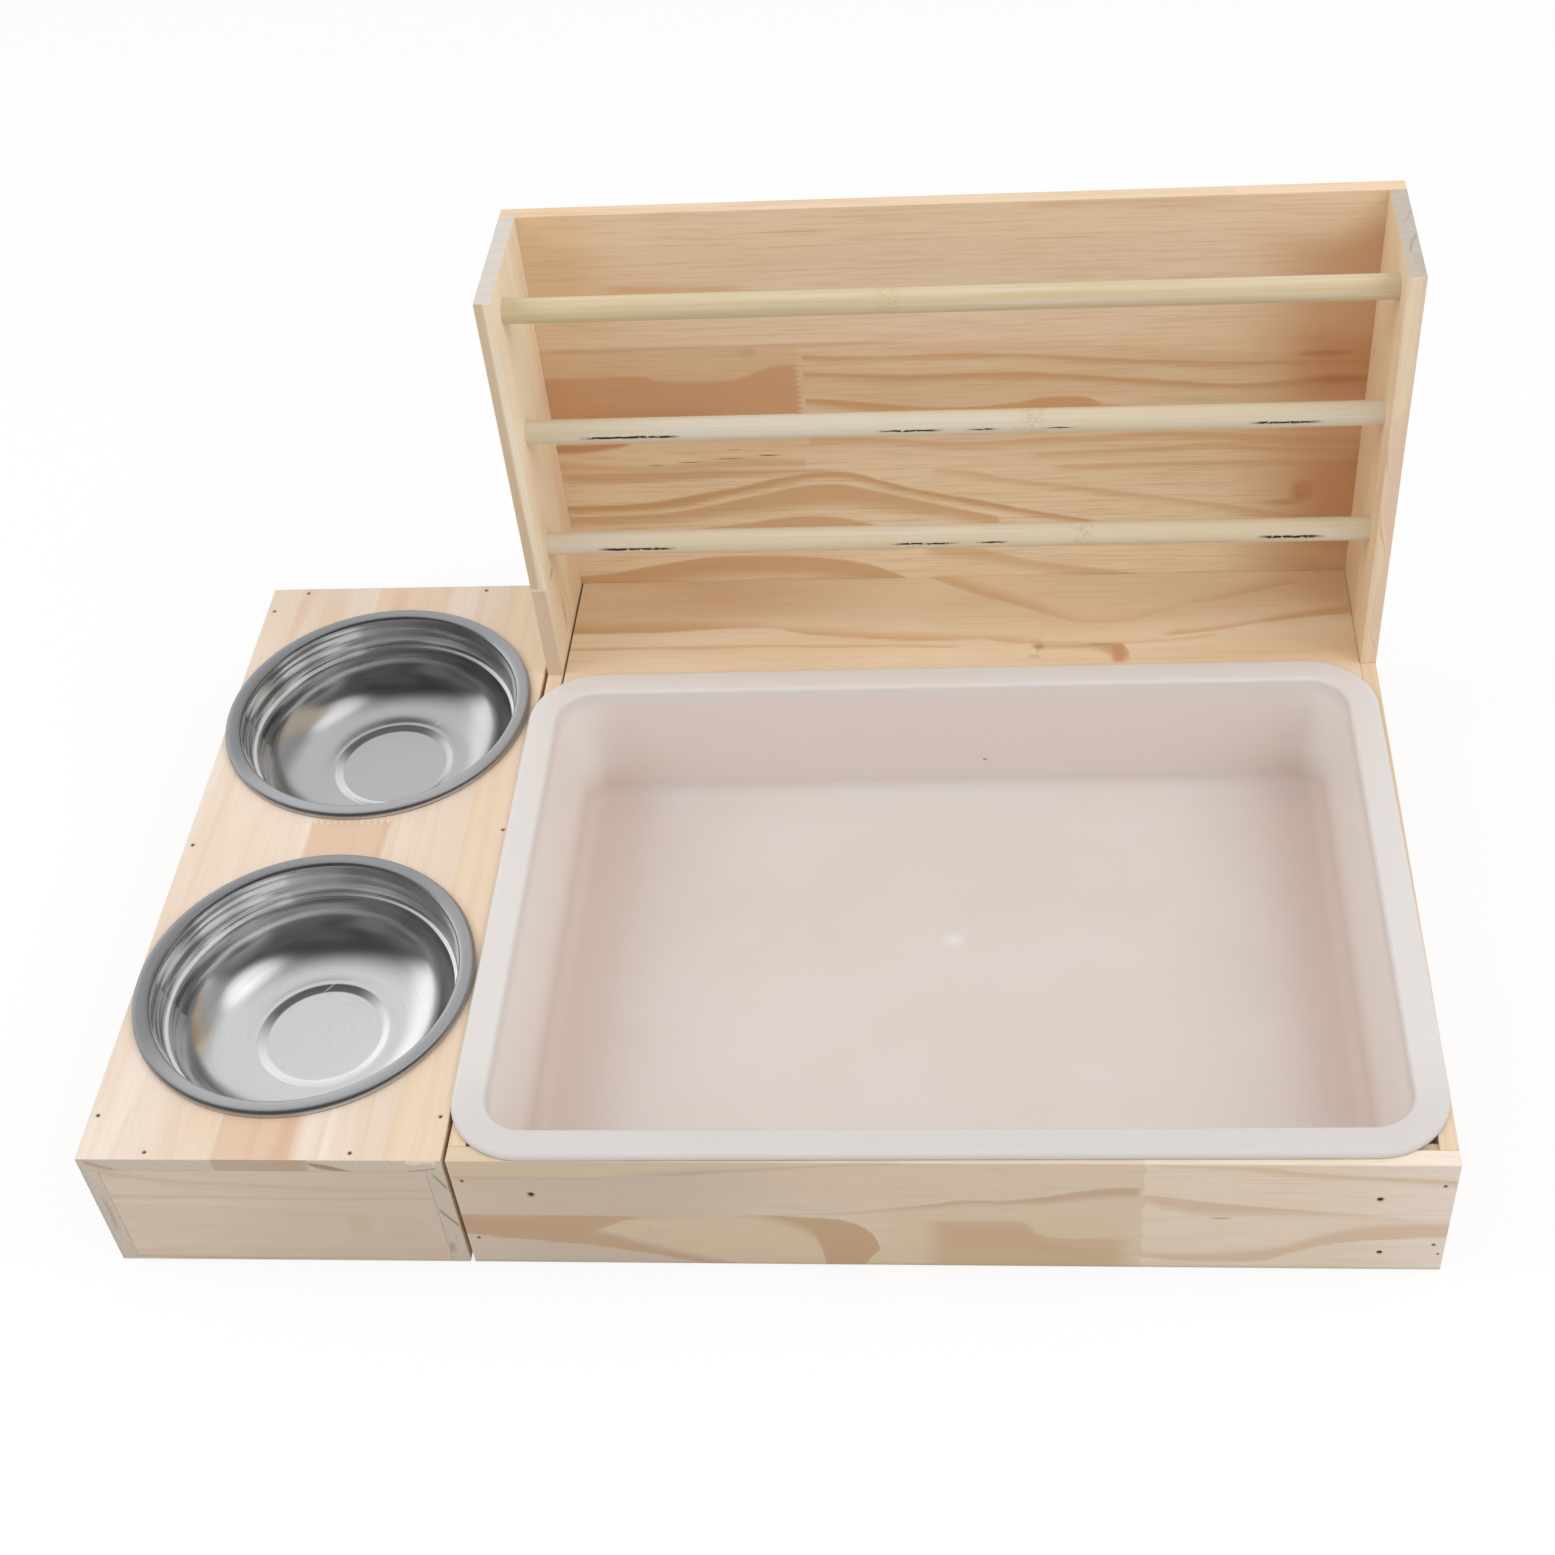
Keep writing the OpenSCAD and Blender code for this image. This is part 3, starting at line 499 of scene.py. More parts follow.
backBoardLook = dict(
    axes="xzy", start=(-132.5, 76, 192), size=(430, 226, 8), seed=6, light=(234, 209, 176),
    warm=(229, 199, 160), dark=(190, 144, 98),
    rings=dict(gap=11, side=60, depth=-120, lean=0.03, wander=6, amount=0.16), teeth=(3.2, 3), lines=0.3,
    bend=1.4, blur=1.1, spread=2.2, away=0.45,
    strokes=[
        stroke(110, -40, (251, 231, 198), 0.85, (70, 1)),
        stroke(240, 150.5, (236, 211, 181), 0.7, (1, 0.6)),
        stroke(240, 152, (230, 190, 140), 0.6, (1, 20), (-5, 60), 40),
        stroke((0, 152, 140, 151.5, 430, 152), (0, 149.5, 140, 150, 430, 150), (190, 146, 102), 0.5,
            (0.6, 1.5), (-5, 200), 30),
        stroke(150, 108, (223, 188, 150), 0.7, (0.5, 1), (-5, 141), toothed=True),
        stroke((0, 135, 30, 135, 60, 134.5, 65, 132.5, 85, 131, 105, 131.5, 112, 133.5, 118, 136.5, 125, 139,
            136, 139.5, 142, 139.5), 108, (212, 162, 118), 0.85, (1.4, 1), (-5, 139), toothed=True),
        stroke((0, 119, 142, 117), 104, (205, 149, 104), 0.45, (6, 1), (-5, 120), 40),
        stroke((136, 145.5, 160, 143.2, 185, 142.6, 220, 143.5, 250, 142, 280, 139.6, 300, 137.8, 330, 136,
            360, 134.8, 385, 134.8, 430, 134), (136, 141, 160, 139, 220, 139.5, 280, 136, 330, 132, 385, 131,
            430, 130), (208, 160, 108), 0.75, (0.6, 3.5), (140, 1000)),
        stroke((140, 134.5, 170, 132.6, 200, 131.6, 250, 131.6, 270, 130, 300, 127, 330, 124.2, 345, 122.4,
            365, 121.4, 380, 122.6, 400, 123.6, 430, 123.6), (140, 130, 200, 127, 270, 125, 330, 119,
            380, 117, 430, 117), (208, 160, 109), 0.8, (0.6, 4), (140, 1000)),
        stroke((138, 118.4, 150, 117.8, 180, 114.6, 220, 111, 245, 113, 260, 115.6, 275, 116.6, 284, 115,
            292, 111.5, 340, 109), (138, 114, 180, 109, 430, 105), (212, 160, 104), 0.85, (0.7, 4),
            (140, 345)),
        stroke((136, 96, 180, 93.5, 210, 90.5, 230, 90, 260, 91.5, 290, 92, 310, 93.5, 350, 92.5, 370, 90.5,
            390, 89, 430, 86.5), (136, 90, 180, 88, 210, 85, 260, 86, 310, 88, 370, 84, 430, 80),
            (212, 166, 116), 0.6, (0.8, 4), (140, 1000)),
        stroke((0, 93, 50, 93), (0, 87.5, 20, 88, 35, 90, 50, 92.5), (196, 132, 84), 0.8, (0.4, 1.5),
            (-5, 50), 6),
        stroke((0, 84, 60, 80, 110, 84, 136, 82), (0, 76, 60, 75, 110, 76, 136, 76), (206, 160, 116), 0.5,
            (3, 3), (-5, 138)),
        stroke((0, 75, 40, 75, 100, 75.5, 136, 75), (0, 69, 40, 68, 100, 70, 136, 72), (204, 154, 104), 0.6,
            (0.8, 3), (-5, 160), 20),
        stroke((0, 53.5, 40, 54.5, 60, 56.5, 80, 60.5, 100, 64.5, 120, 69.5, 135, 72.2, 150, 73.2, 160, 72.6,
            170, 69.5, 180, 65.5, 195, 60.5, 210, 56.5, 230, 51.5, 250, 46, 270, 41.5, 290, 37, 320, 30),
            (0, 47, 60, 49, 100, 58, 135, 66, 150, 67.5, 165, 65, 180, 60, 210, 51, 250, 41, 290, 32),
            (211, 164, 112), 0.85, (0.9, 4.5), (-5, 330), 4),
        stroke((0, 46.5, 60, 48.5, 85, 53, 110, 59, 135, 64.5, 150, 65.5, 170, 61, 200, 52, 240, 40), (0, 36,
            60, 38, 110, 44, 150, 47, 200, 40, 240, 30), (212, 166, 114), 0.7, (1.2, 9), (-5, 240), 4),
        stroke((60, 36, 75, 37.5, 100, 40.5, 120, 43.5, 135, 44.8, 150, 43.5, 160, 41.3, 172, 37, 185, 30),
            20, (212, 166, 114), 0.7, (1.2, 10), (50, 196), 16),
        stroke((0, 5, 30, 8.5, 50, 12.5, 70, 16.4, 85, 18.4, 110, 18.6, 130, 17.6, 150, 15, 165, 11.5,
            175, 7.5, 187, 1, 200, -8), (0, -14, 50, -6, 100, 0, 150, -4, 180, -14), (210, 162, 112), 0.7,
            (1, 12), (-5, 200), 3),
        stroke((200, 23, 229, 20, 250, 13, 280, 7, 310, 2, 340, -6), (200, 14, 250, 4, 310, -8),
            (218, 182, 138), 0.6, (1.5, 6), (195, 340), 8),
        stroke((200, 74, 225, 71.5, 240, 67, 260, 63.6, 280, 60.6, 300, 57, 320, 53, 340, 49.6, 360, 46,
            380, 41.6, 400, 38, 430, 34), (200, 70, 240, 62, 280, 55, 320, 48, 360, 40, 400, 32, 430, 28),
            (218, 182, 138), 0.6, (1.2, 5), (200, 1000), 8),
        stroke((240, 74, 330, 74.5, 430, 73.5), (240, 70, 330, 70, 430, 69), (212, 164, 112), 0.5, (0.8, 3),
            (262, 1000), 12),
        stroke((240, 82, 290, 83, 320, 84, 345, 86, 365, 84, 385, 82, 430, 80), (240, 78, 320, 80, 345, 81,
            385, 78, 430, 75), (206, 156, 104), 0.5, (0.8, 3), (250, 1000), 12),
        # The right end beside the right panel: a paler wedge along the top, then painted shade below it,
        # darkest at the far right, the panel's shadow.
        stroke(240, (340, 240, 355, 225, 370, 222, 390, 217.5, 412, 218, 424, 226), (240, 212, 180), 0.7,
            (1, 1), (345, 1000), 4),
        stroke((340, 224, 380, 214, 395, 211, 424, 221), -80, (207, 156, 108), 0.7, (20, 1), (344, 1000),
            62),
        stroke((360, 160, 400, 156, 430, 150), (360, 110, 430, 104), (196, 136, 88), 0.45, (12, 12),
            (374, 1000), 30),
        stroke((360, 70, 400, 78, 430, 84), (360, 20, 430, 10), (194, 132, 84), 0.5, (14, 14), (380, 1000),
            30),
        stroke((240, 227, 340, 226, 350, 224), (240, 223, 350, 220), (214, 166, 112), 0.25, (0.5, 3),
            (236, 360), 30),
        stroke((20, 190, 60, 188, 85, 187, 200, 190), (20, 182, 60, 182, 200, 184), (222, 168, 112), 0.6,
            (2, 3), (40, 120), 16),
    ],
    spots=[
        ((119, 83), (8, 0.6), (96, 66, 40), 0.9), ((98, 81.4), (12, 0.5), (120, 86, 56), 0.8),
        ((77, 79.6), (9, 0.6), (130, 94, 62), 0.7), ((59, 78), (6, 0.6), (130, 94, 62), 0.7),
        ((101, 87), (6, 0.5), (150, 112, 76), 0.6), ((138, 213.5), (32, 0.5), (190, 146, 100), 0.6),
        ((193, 103), (10, 0.5), (110, 80, 54), 0.6), ((113, 146), (9, 4), (184, 150, 118), 0.4),
        ((395, 53), (9, 10), (184, 112, 66), 0.5), ((396, 54), (4.5, 5.5), (212, 158, 106), 0.7),
        ((386, 46), (14, 3), (176, 108, 64), 0.5), ((400, 137), (20, 3), (172, 106, 62), 0.55),
        ((408, 122), (24, 4), (168, 102, 60), 0.5),
    ],
    ends=greyEnd,
)

shelfLook = dict(
    axes="xyz", start=(-132.5, 100, 68), size=(430, 92, 8), seed=7, light=(238, 218, 190),
    warm=(234, 209, 177), dark=(202, 160, 116),
    rings=dict(gap=10, side=70, depth=-80, lean=0.03, wander=5, amount=0.14), lines=0.2, bend=0.8, blur=1.4,
    spread=1.6,
    strokes=[
        stroke(100, (0, 50, 120, 54, 200, 60), (224, 186, 148), 0.7, (1, 14), (-5, 170), 100),
        stroke((0, 62, 60, 62, 100, 60, 127, 56, 160, 52, 200, 49, 230, 47, 260, 43), (0, 49, 30, 49,
            60, 49.4, 80, 51, 100, 52, 115, 52, 122, 50.5, 128, 48.3, 140, 45.4, 160, 43, 180, 41, 200, 40,
            228, 40.4, 238, 38, 246, 36.8, 262, 36.6), (210, 165, 118), 0.8, (9, 0.9), (-5, 262), 4),
        stroke((0, 39, 60, 39, 120, 38.6, 150, 38, 182, 37.6, 215, 37), (0, 35, 60, 36, 120, 36, 150, 34.6,
            182, 35, 215, 33.6), (204, 170, 122), 0.65, (2, 0.8), (-5, 222), 14),
        stroke(110, (195, 95, 210, 86, 225, 77.6, 235, 73.4, 245, 68.4, 255, 63.4, 262, 60, 270, 56.4,
            277, 53.4, 287, 51.6, 300, 51.8, 310, 54.4, 320, 58.4, 330, 62.4, 340, 66, 350, 69, 360, 71,
            375, 75, 395, 82, 420, 95), (240, 216, 186), 0.5, (1, 1.2), (195, 425), 3),
        stroke((195, 112, 225, 92, 255, 76, 277, 63, 295, 60, 320, 66, 350, 77, 390, 92), (195, 95, 210, 86,
            225, 77.6, 245, 68.4, 262, 60, 277, 53.4, 287, 51.6, 300, 51.8, 320, 58.4, 340, 66, 360, 71,
            395, 82), (217, 177, 130), 0.8, (12, 1.2), (195, 400), 8),
        stroke((320, 47, 345, 49, 370, 54, 385, 58, 400, 62, 425, 66), (320, 40, 345, 43.6, 360, 46.6,
            370, 49.4, 385, 52, 400, 54, 425, 57), (212, 160, 112), 0.75, (5, 1), (318, 1000), 14),
        stroke((245, 40, 300, 38, 330, 40, 350, 43), (245, 36, 300, 34.6, 330, 37, 350, 40), (205, 167, 120),
            0.5, (2, 1.2), (250, 355), 8),
        stroke((255, 37, 270, 35.5, 300, 36, 305, 30, 315, 20), (255, 24, 262, 30, 285, 29, 300, 20),
            (196, 156, 112), 0.75, (1, 6), (256, 306), 2),
        stroke(36, 20, (204, 148, 112), 0.8, (2, 2), (295, 304), 3),
        # Darker towards the right panel: painted shade.
        stroke(110, (360, 60, 425, 46), (212, 168, 124), 0.6, (1, 26), (366, 1000), 50),
    ],
    spots=[
        ((258, 33), (5, 3), (160, 124, 84), 0.6), ((290, 34), (10, 1.6), (168, 130, 88), 0.5),
        ((256, 25), (5, 2.5), (196, 160, 130), 0.5),
    ],
    ends=greyEnd,
)

leftPanelLook = dict(
    axes="zyx", start=(76, 116, -132.5), size=(226, 76, 8), seed=8, light=(250, 239, 215),
    warm=(246, 230, 202), dark=(212, 178, 142),
    rings=dict(gap=9, side=20, depth=-60, lean=0.04, wander=6, amount=0.22),
    strokes=[
        stroke((0, 80, 60, 74, 120, 66, 226, 60), (0, 40, 60, 50, 120, 54, 226, 52), (236, 208, 176), 0.5,
            (5, 8), face="flat"),
        stroke(80, (0, 48, 226, 64), (238, 210, 178), 0.4, (1, 12), face="flat"),
        stroke(5.4, -1, (213, 189, 154), 0.85, (1.5, 1), (57, 300), face="edge"),
        stroke(9, -1, (216, 184, 158), 0.7, ends=(-5, 57), face="edge"),
        stroke((60, 1.5, 120, 3.5, 160, 1), (60, 0.4, 120, 2.4, 160, 0), (190, 164, 130), 0.5, (0.8, 0.8),
            (60, 160), 16, "edge"),
    ],
    spots=[
        ((55, 16), (3, 8), (176, 134, 96), 0.6), ((20, 28), (16, 5), (196, 150, 108), 0.5),
    ],
    ends=dict(greyEnd, light=(214, 207, 198), dark=(196, 184, 168), gap=9, side=-20, depth=20, amount=0.2),
)

rightPanelLook = dict(
    axes="zyx", start=(76, 116, 289.5), size=(226, 76, 8), seed=9, light=(243, 223, 192),
    warm=(238, 213, 178), dark=(206, 170, 134),
    rings=dict(gap=9, side=50, depth=-60, lean=0.04, wander=6, amount=0.2),
    strokes=[
        stroke(80, (0, 30, 226, 58), (236, 206, 172), 0.5, (1, 24), face="flat"),
        stroke(9, (0, 3, 14, 5.5, 26, 2, 40, 1.6, 70, 5.6, 97, 1, 120, 1.4, 146, 1, 160, 6, 226, 5),
            (236, 206, 184), 0.8, (1, 1), face="edge"),
        stroke((60, 6.6, 70, 6, 84, 3, 97, 1), (60, 5.4, 70, 4.6, 84, 1, 97, -0.5), (206, 158, 112), 0.8,
            (0.8, 1), (60, 99), 3, "edge"),
        stroke((10, 7, 18, 4.5, 27, 2), (10, 5.6, 18, 3.2, 27, 0.8), (186, 142, 104), 0.8, (0.6, 0.8),
            (9, 28), 3, "edge"),
        stroke((121, 1.6, 142, 0), (121, 0.4, 142, -1.4), (160, 120, 82), 0.8, (0.6, 0.6), (120, 143), 2,
            "edge"),
    ],
    endStrokes=[
        stroke((0, 8, 20, 9), (0, 4, 20, 3), (186, 176, 160), 0.7, (1, 1), (0, 22), 5),
        stroke((22, 4, 30, 6, 36, 9), (22, 1.5, 30, 3.5, 36, 6), (172, 160, 142), 0.8, (1, 1), (20, 38), 3),
        stroke((46, 4, 56, 9), (46, 2, 56, 6), (180, 170, 150), 0.8, (1, 1), (44, 60), 4),
    ],
    spots=[
        ((144, 66), (5, 1.6), (150, 110, 74), 0.6),
    ],
    ends=dict(greyEnd, light=(194, 184, 170), dark=(174, 162, 146), gap=6, side=-30, depth=10, amount=0.2),
)

boxSideLook = dict(
    axes="yzx", start=(-192, 0, -132.5), size=(384, 76, 8), seed=10, light=(234, 210, 182),
    warm=(228, 198, 160), dark=(194, 152, 110),
    rings=dict(gap=8, side=24, depth=-50, lean=0.05, wander=7, amount=0.35),
    ends=greyEnd,
)

plainBoardLook = dict(
    axes="xzy", start=(-132.5, 0, 0), size=(430, 76, 8), seed=12, light=(234, 212, 186),
    warm=(228, 200, 164), dark=(194, 154, 114),
    rings=dict(gap=8, side=30, depth=-50, lean=0.05, wander=7, amount=0.35),
    ends=greyEnd,
)

boardLooks = {
    "stand_top": standTopLook, "stand_front": standFrontLook, "stand_left_side": standSideLook,
    "stand_right_side": standRightLook, "stand_back": plainBoardLook, "box_front": boxFrontLook,
    "box_left_side": boxSideLook, "box_right_side": boxSideLook,
    "block_front_left": plainBoardLook, "block_front_right": plainBoardLook,
    "block_rear_left": plainBoardLook, "block_rear_right": plainBoardLook,
    "rack_back": backBoardLook, "rack_left_panel": leftPanelLook, "rack_right_panel": rightPanelLook,
    "rack_shelf": shelfLook,
}
madeMaterials = {}


def addObject(name, data):
    item = bpy.data.objects.new(name, data)
    scene.collection.objects.link(item)
    return item


def camel(name):
    words = name.split("_")
    return words[0] + "".join(word.capitalize() for word in words[1:])


sanding = dict(edge=0.4, shortest=5, weld=0.01)


def dressBoard(node, look):
    # A copy of the board with its long edges eased, as sanding leaves them
    mesh = cadNodes[node].data.copy()
    mesh.name = camel(node) + "Board"
    work = bmesh.new()
    work.from_mesh(mesh)
    bmesh.ops.remove_doubles(work, verts=work.verts, dist=sanding["weld"] * mm)
    bmesh.ops.dissolve_limit(work, angle_limit=math.radians(1), verts=work.verts, edges=work.edges)
    longEdges = [e for e in work.edges
                 if e.is_manifold and e.calc_length() > sanding["shortest"] * mm and e.calc_face_angle(0) > 1]
    bmesh.ops.bevel(work, geom=longEdges, offset=sanding["edge"] * mm, segments=2, profile=0.5,
                    affect="EDGES", clamp_overlap=False)
    bmesh.ops.recalc_face_normals(work, faces=work.faces)
    work.to_mesh(mesh)
    work.free()
    mesh.materials.clear()
    key = id(look)
    if key not in madeMaterials:
        madeMaterials[key] = pineMaterial(camel(node) + "Pine", look)
    mesh.materials.append(madeMaterials[key])
    board = addObject(camel(node) + "Board", mesh)
    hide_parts(node)
    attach(board, "frame")


for node, look in boardLooks.items():
    dressBoard(node, look)
print("boards", len(boardLooks))


# Geometry Nodes: a tree with named inputs, run once and kept as a plain mesh

def startShape(name, inputs):
    tree = bpy.data.node_groups.new(name, "GeometryNodeTree")
    for side in ("INPUT", "OUTPUT"):
        tree.interface.new_socket(name="Geometry", in_out=side, socket_type="NodeSocketGeometry")
    for label, kind in inputs.items():
        tree.interface.new_socket(name=label, in_out="INPUT", socket_type="NodeSocket" + kind)
    return tree, wires(tree, tree.nodes.new("NodeGroupInput"))


def finishShape(tree, geometry, material):
    real = wire(tree, "GeometryNodeRealizeInstances", {"Geometry": geometry})
    painted = wire(tree, "GeometryNodeSetMaterial", {"Geometry": real, "Material": material})
    place(tree, "NodeGroupOutput", {"Geometry": painted})
    return tree


def runShape(name, tree, values, points=()):
    mesh = bpy.data.meshes.new(name)
    mesh.from_pydata(points, [], [])
    holder = addObject(name, mesh)
    modifier = holder.modifiers.new(name, "NODES")
    modifier.node_group = tree
    for item in tree.interface.items_tree:
        if item.in_out == "INPUT" and item.name in values:
            modifier[item.identifier] = values[item.name]
    holder.update_tag()
    bpy.context.view_layer.update()
    graph = bpy.context.evaluated_depsgraph_get()
    made = bpy.data.meshes.new_from_object(holder.evaluated_get(graph))
    holder.modifiers.clear()
    holder.data = made
    made.name = name
    return holder


# Bowls and tray: a section, point by point, turned about a middle or round four corners

def makeTurnedShell():
    tree, given = startShape("turnedShell", {
        "Rows": "Int", "Corner Steps": "Int", "Side X": "Float", "Side Y": "Float",
        "Middle": "Vector", "Turn": "Float", "Material": "Material",
    })
    perCorner = given["Corner Steps"] + 1
    columns = perCorner * 4 + 1
    grid = wire(tree, "GeometryNodeMeshGrid", {
        "Size X": 1.0, "Size Y": 1.0, "Vertices X": columns, "Vertices Y": given["Rows"],
    })
    where = wire(tree, "GeometryNodeInputPosition")
    counts = (columns, given["Rows"])
    column, row = [((part + 0.5) * (count - 1)).math("ROUND") for part, count in zip(split(where), counts)]
    corner = (column / perCorner).math("FLOOR")
    step = column - corner * perCorner
    angle = (corner + step / given["Corner Steps"]) * (math.pi / 2)
    diagonal = (corner + 0.5) * (math.pi / 2)
    sample = wire(tree, "GeometryNodeSampleIndex", {
        "Geometry": given["Geometry"], "Value": where, "Index": row,
    }, data_type="FLOAT_VECTOR", domain="POINT", clamp=True)
    section = split(sample)
    x, y = [angle.math(turn) * section[0] + diagonal.math(turn).math("SIGN") * (given[side] * 0.5)
            for turn, side in (("COSINE", "Side X"), ("SINE", "Side Y"))]
    moved = wire(tree, "GeometryNodeSetPosition", {"Geometry": grid, "Position": vector(x, y, section[2])})
    turned = wire(tree, "GeometryNodeTransform", {
        "Geometry": moved, "Translation": given["Middle"], "Rotation": vector(0.0, 0.0, given["Turn"]),
    })
    closed = wire(tree, "GeometryNodeMergeByDistance", {"Geometry": turned, "Distance": 0.01 * mm})
    smooth = wire(tree, "GeometryNodeSetShadeSmooth", {"Geometry": closed})
    return finishShape(tree, smooth, given["Material"])


turnedShell = makeTurnedShell()


def arc(middle, radius, start, end, steps):
    rx, rz = radius if isinstance(radius, tuple) else (radius, radius)
    turns = [math.radians(start + (end - start) * i / steps) for i in range(steps + 1)]
    return [(middle[0] + rx * math.cos(a), middle[1] + rz * math.sin(a)) for a in turns]


def underLine(line, thickness):
    # The line one thickness further down, from its end back to its start
    back = line[::-1]
    below = []
    for i, spot in enumerate(back):
        before, after = back[max(i - 1, 0)], back[min(i + 1, len(back) - 1)]
        run = Vector((after[0] - before[0], after[1] - before[1])).normalized()
        below.append((max(spot[0] - thickness * run.y, 0) if spot[0] > 0 else 0, spot[1] + thickness * run.x))
    return below


def closeShell(piece):
    # Fills what the turning left open and points every face outwards
    work = bmesh.new()
    work.from_mesh(piece.data)
    bmesh.ops.remove_doubles(work, verts=work.verts, dist=sanding["weld"] * mm)
    openEdges = [e for e in work.edges if e.is_boundary]
    if openEdges:
        bmesh.ops.holes_fill(work, edges=openEdges, sides=8)
    bmesh.ops.recalc_face_normals(work, faces=work.faces)
    for face in work.faces:
        face.smooth = True
    left = sum(1 for e in work.edges if not e.is_manifold)
    work.to_mesh(piece.data)
    work.free()
    print(piece.name, "faces", len(piece.data.polygons), "open edges", left)


def turnShell(name, line, shape, middle, material):
    points = [(r * mm, 0, z * mm) for r, z in line + underLine(line, shape["wall"])]
    sides = shape.get("sides", (0, 0))
    piece = runShape(name, turnedShell, {
        "Rows": len(points), "Corner Steps": shape["steps"], "Side X": sides[0] * mm, "Side Y": sides[1] * mm,
        "Middle": (middle[0] * mm, middle[1] * mm, 0.0), "Turn": math.radians(shape.get("turn", 0)),
        "Material": material,
    }, points)
    closeShell(piece)
    return piece


def steelMaterial(name, look):
    material, tree, where = newMaterial(name)
    spot = split(where)
    x, y = [part - start for part, start in zip(spot, look["middle"])]
    z = spot[2]
    radius = distance(x, y)
    angle = calc(tree, "ARCTAN2", y, x)
    path = radius - z
    top = look["rimHeight"]
    rim = radius.ease(look["rimInner"] - 0.6, look["rimInner"] + 0.6) * z.ease(top - 3, top - 1.5)
    wall = radius.ease(*look["wallStart"]) * z.ease(top - 1, top - 3)
    flank = radius.ease(*look["flankStart"]) * z.ease(*look["flankTop"])
    inner, outer = look["ring"]
    ring = radius.ease(inner - 0.5, inner + 0.5) * radius.ease(outer + 0.5, outer - 0.5)

    grooves = noise(vector(path * look["brush"], 0.0, 0.0), 3, 0.7)
    smear = noise(vector(x * 0.05, y * 0.05, 3.0), 3)
    marks = noise(vector(path * 2.2, angle * 1.4, 1.0), 3, 0.6)
    streaks = noise(vector(path * 0.45, angle * 1.2, 7.0), 2)
    scratch = spotMask(x + y, x - y, look["scratch"], (look["scratch"][2], 0.6), 0.6)
    # Painted reflections: light and dark bands on the wall above the bead and on the flank below it, set by
    # the angle round the bowl and broken by streaks; where they show, the metal turns into grey paint.
    around = angle * (0.5 / math.pi) + 0.5
    paintedWallSheen = wall * edgeCurve(around, 1, 0, 1, look["paintedWallSheen"])
    paintedFlankSheen = flank * edgeCurve(around, 1, 0, 1, look["paintedFlankSheen"])
    satin = calc(tree, "MULTIPLY", paintedWallSheen + paintedFlankSheen, streaks.ease(0.38, 0.62, (0.3, 1.35)), clamp=True)

    # Painted shade and painted light on the rim: darker on the left and at the back, paler at the front.
    rimTone = blend((x / radius).ease(-0.9, 0.2), look["shade"], look["dull"])
    rimTone = blend((y / radius).ease(-0.4, -0.95), rimTone, look["pale"])
    rimTone = blend((y / radius).ease(0.4, 0.95, (0, 0.45)), rimTone, look["shade"])
    # Painted shade on the ring's upper-left arc and painted light on its lower-left arc.
    upperLeftShade = (angle - look["glint"]).math("COSINE").ease(-0.1, 0.6)
    lowerLeftLight = (angle + look["glint"]).math("COSINE").ease(0.1, 0.8)
    inside = blend(satin, look["bright"], look["satin"])
    inside = blend(ring * upperLeftShade * 0.9, inside, look["paintedRingShade"])
    inside = blend(ring * lowerLeftLight * 0.6, inside, look["paintedRingLight"])
    base = blend(rim, inside, rimTone)
    base = blend(marks.ease(0.45, 0.75) * 0.25, base, look["dark"])
    base = blend(scratch * 0.5, base, look["bare"])
    rough = rim.between(look["roughInside"], look["roughRim"]) + smear * 0.06
    bump = (grooves, look["grooves"], 0.05 * mm)
    return finishMaterial(material, base, rough, bump, {"Metallic": 1.0 - satin})


bowl = dict(
    rimRadius=79.95, mouthRadius=72, rimTop=79.5, seat=76, depth=40, wall=0.8, steps=36,
    beadRadius=67, beadHeight=62.7, beadStep=1.5, baseRadius=34.5,
    discRadius=31.6, discSlope=3.2, discDrop=0.8,
    crown=[(72.0, -2.4), (72.15, -1.4), (72.5, -0.75), (73.1, -0.28), (73.9, -0.06), (75.2, 0.0), (76.8, 0.0),
           (78.0, -0.07), (78.8, -0.28), (79.4, -0.7), (79.75, -1.3), (79.9, -2.0)],
    each=dict(
        front=dict(middle=(-216.5, -97.5), scratch=(27, -33, 8)),
        # The rear bowl's inside is darker: painted shade.
        rear=dict(middle=(-218, 88.5), scratch=(50, -14, 3), bright=(0.47, 0.472, 0.478, 1)),
    ),
)
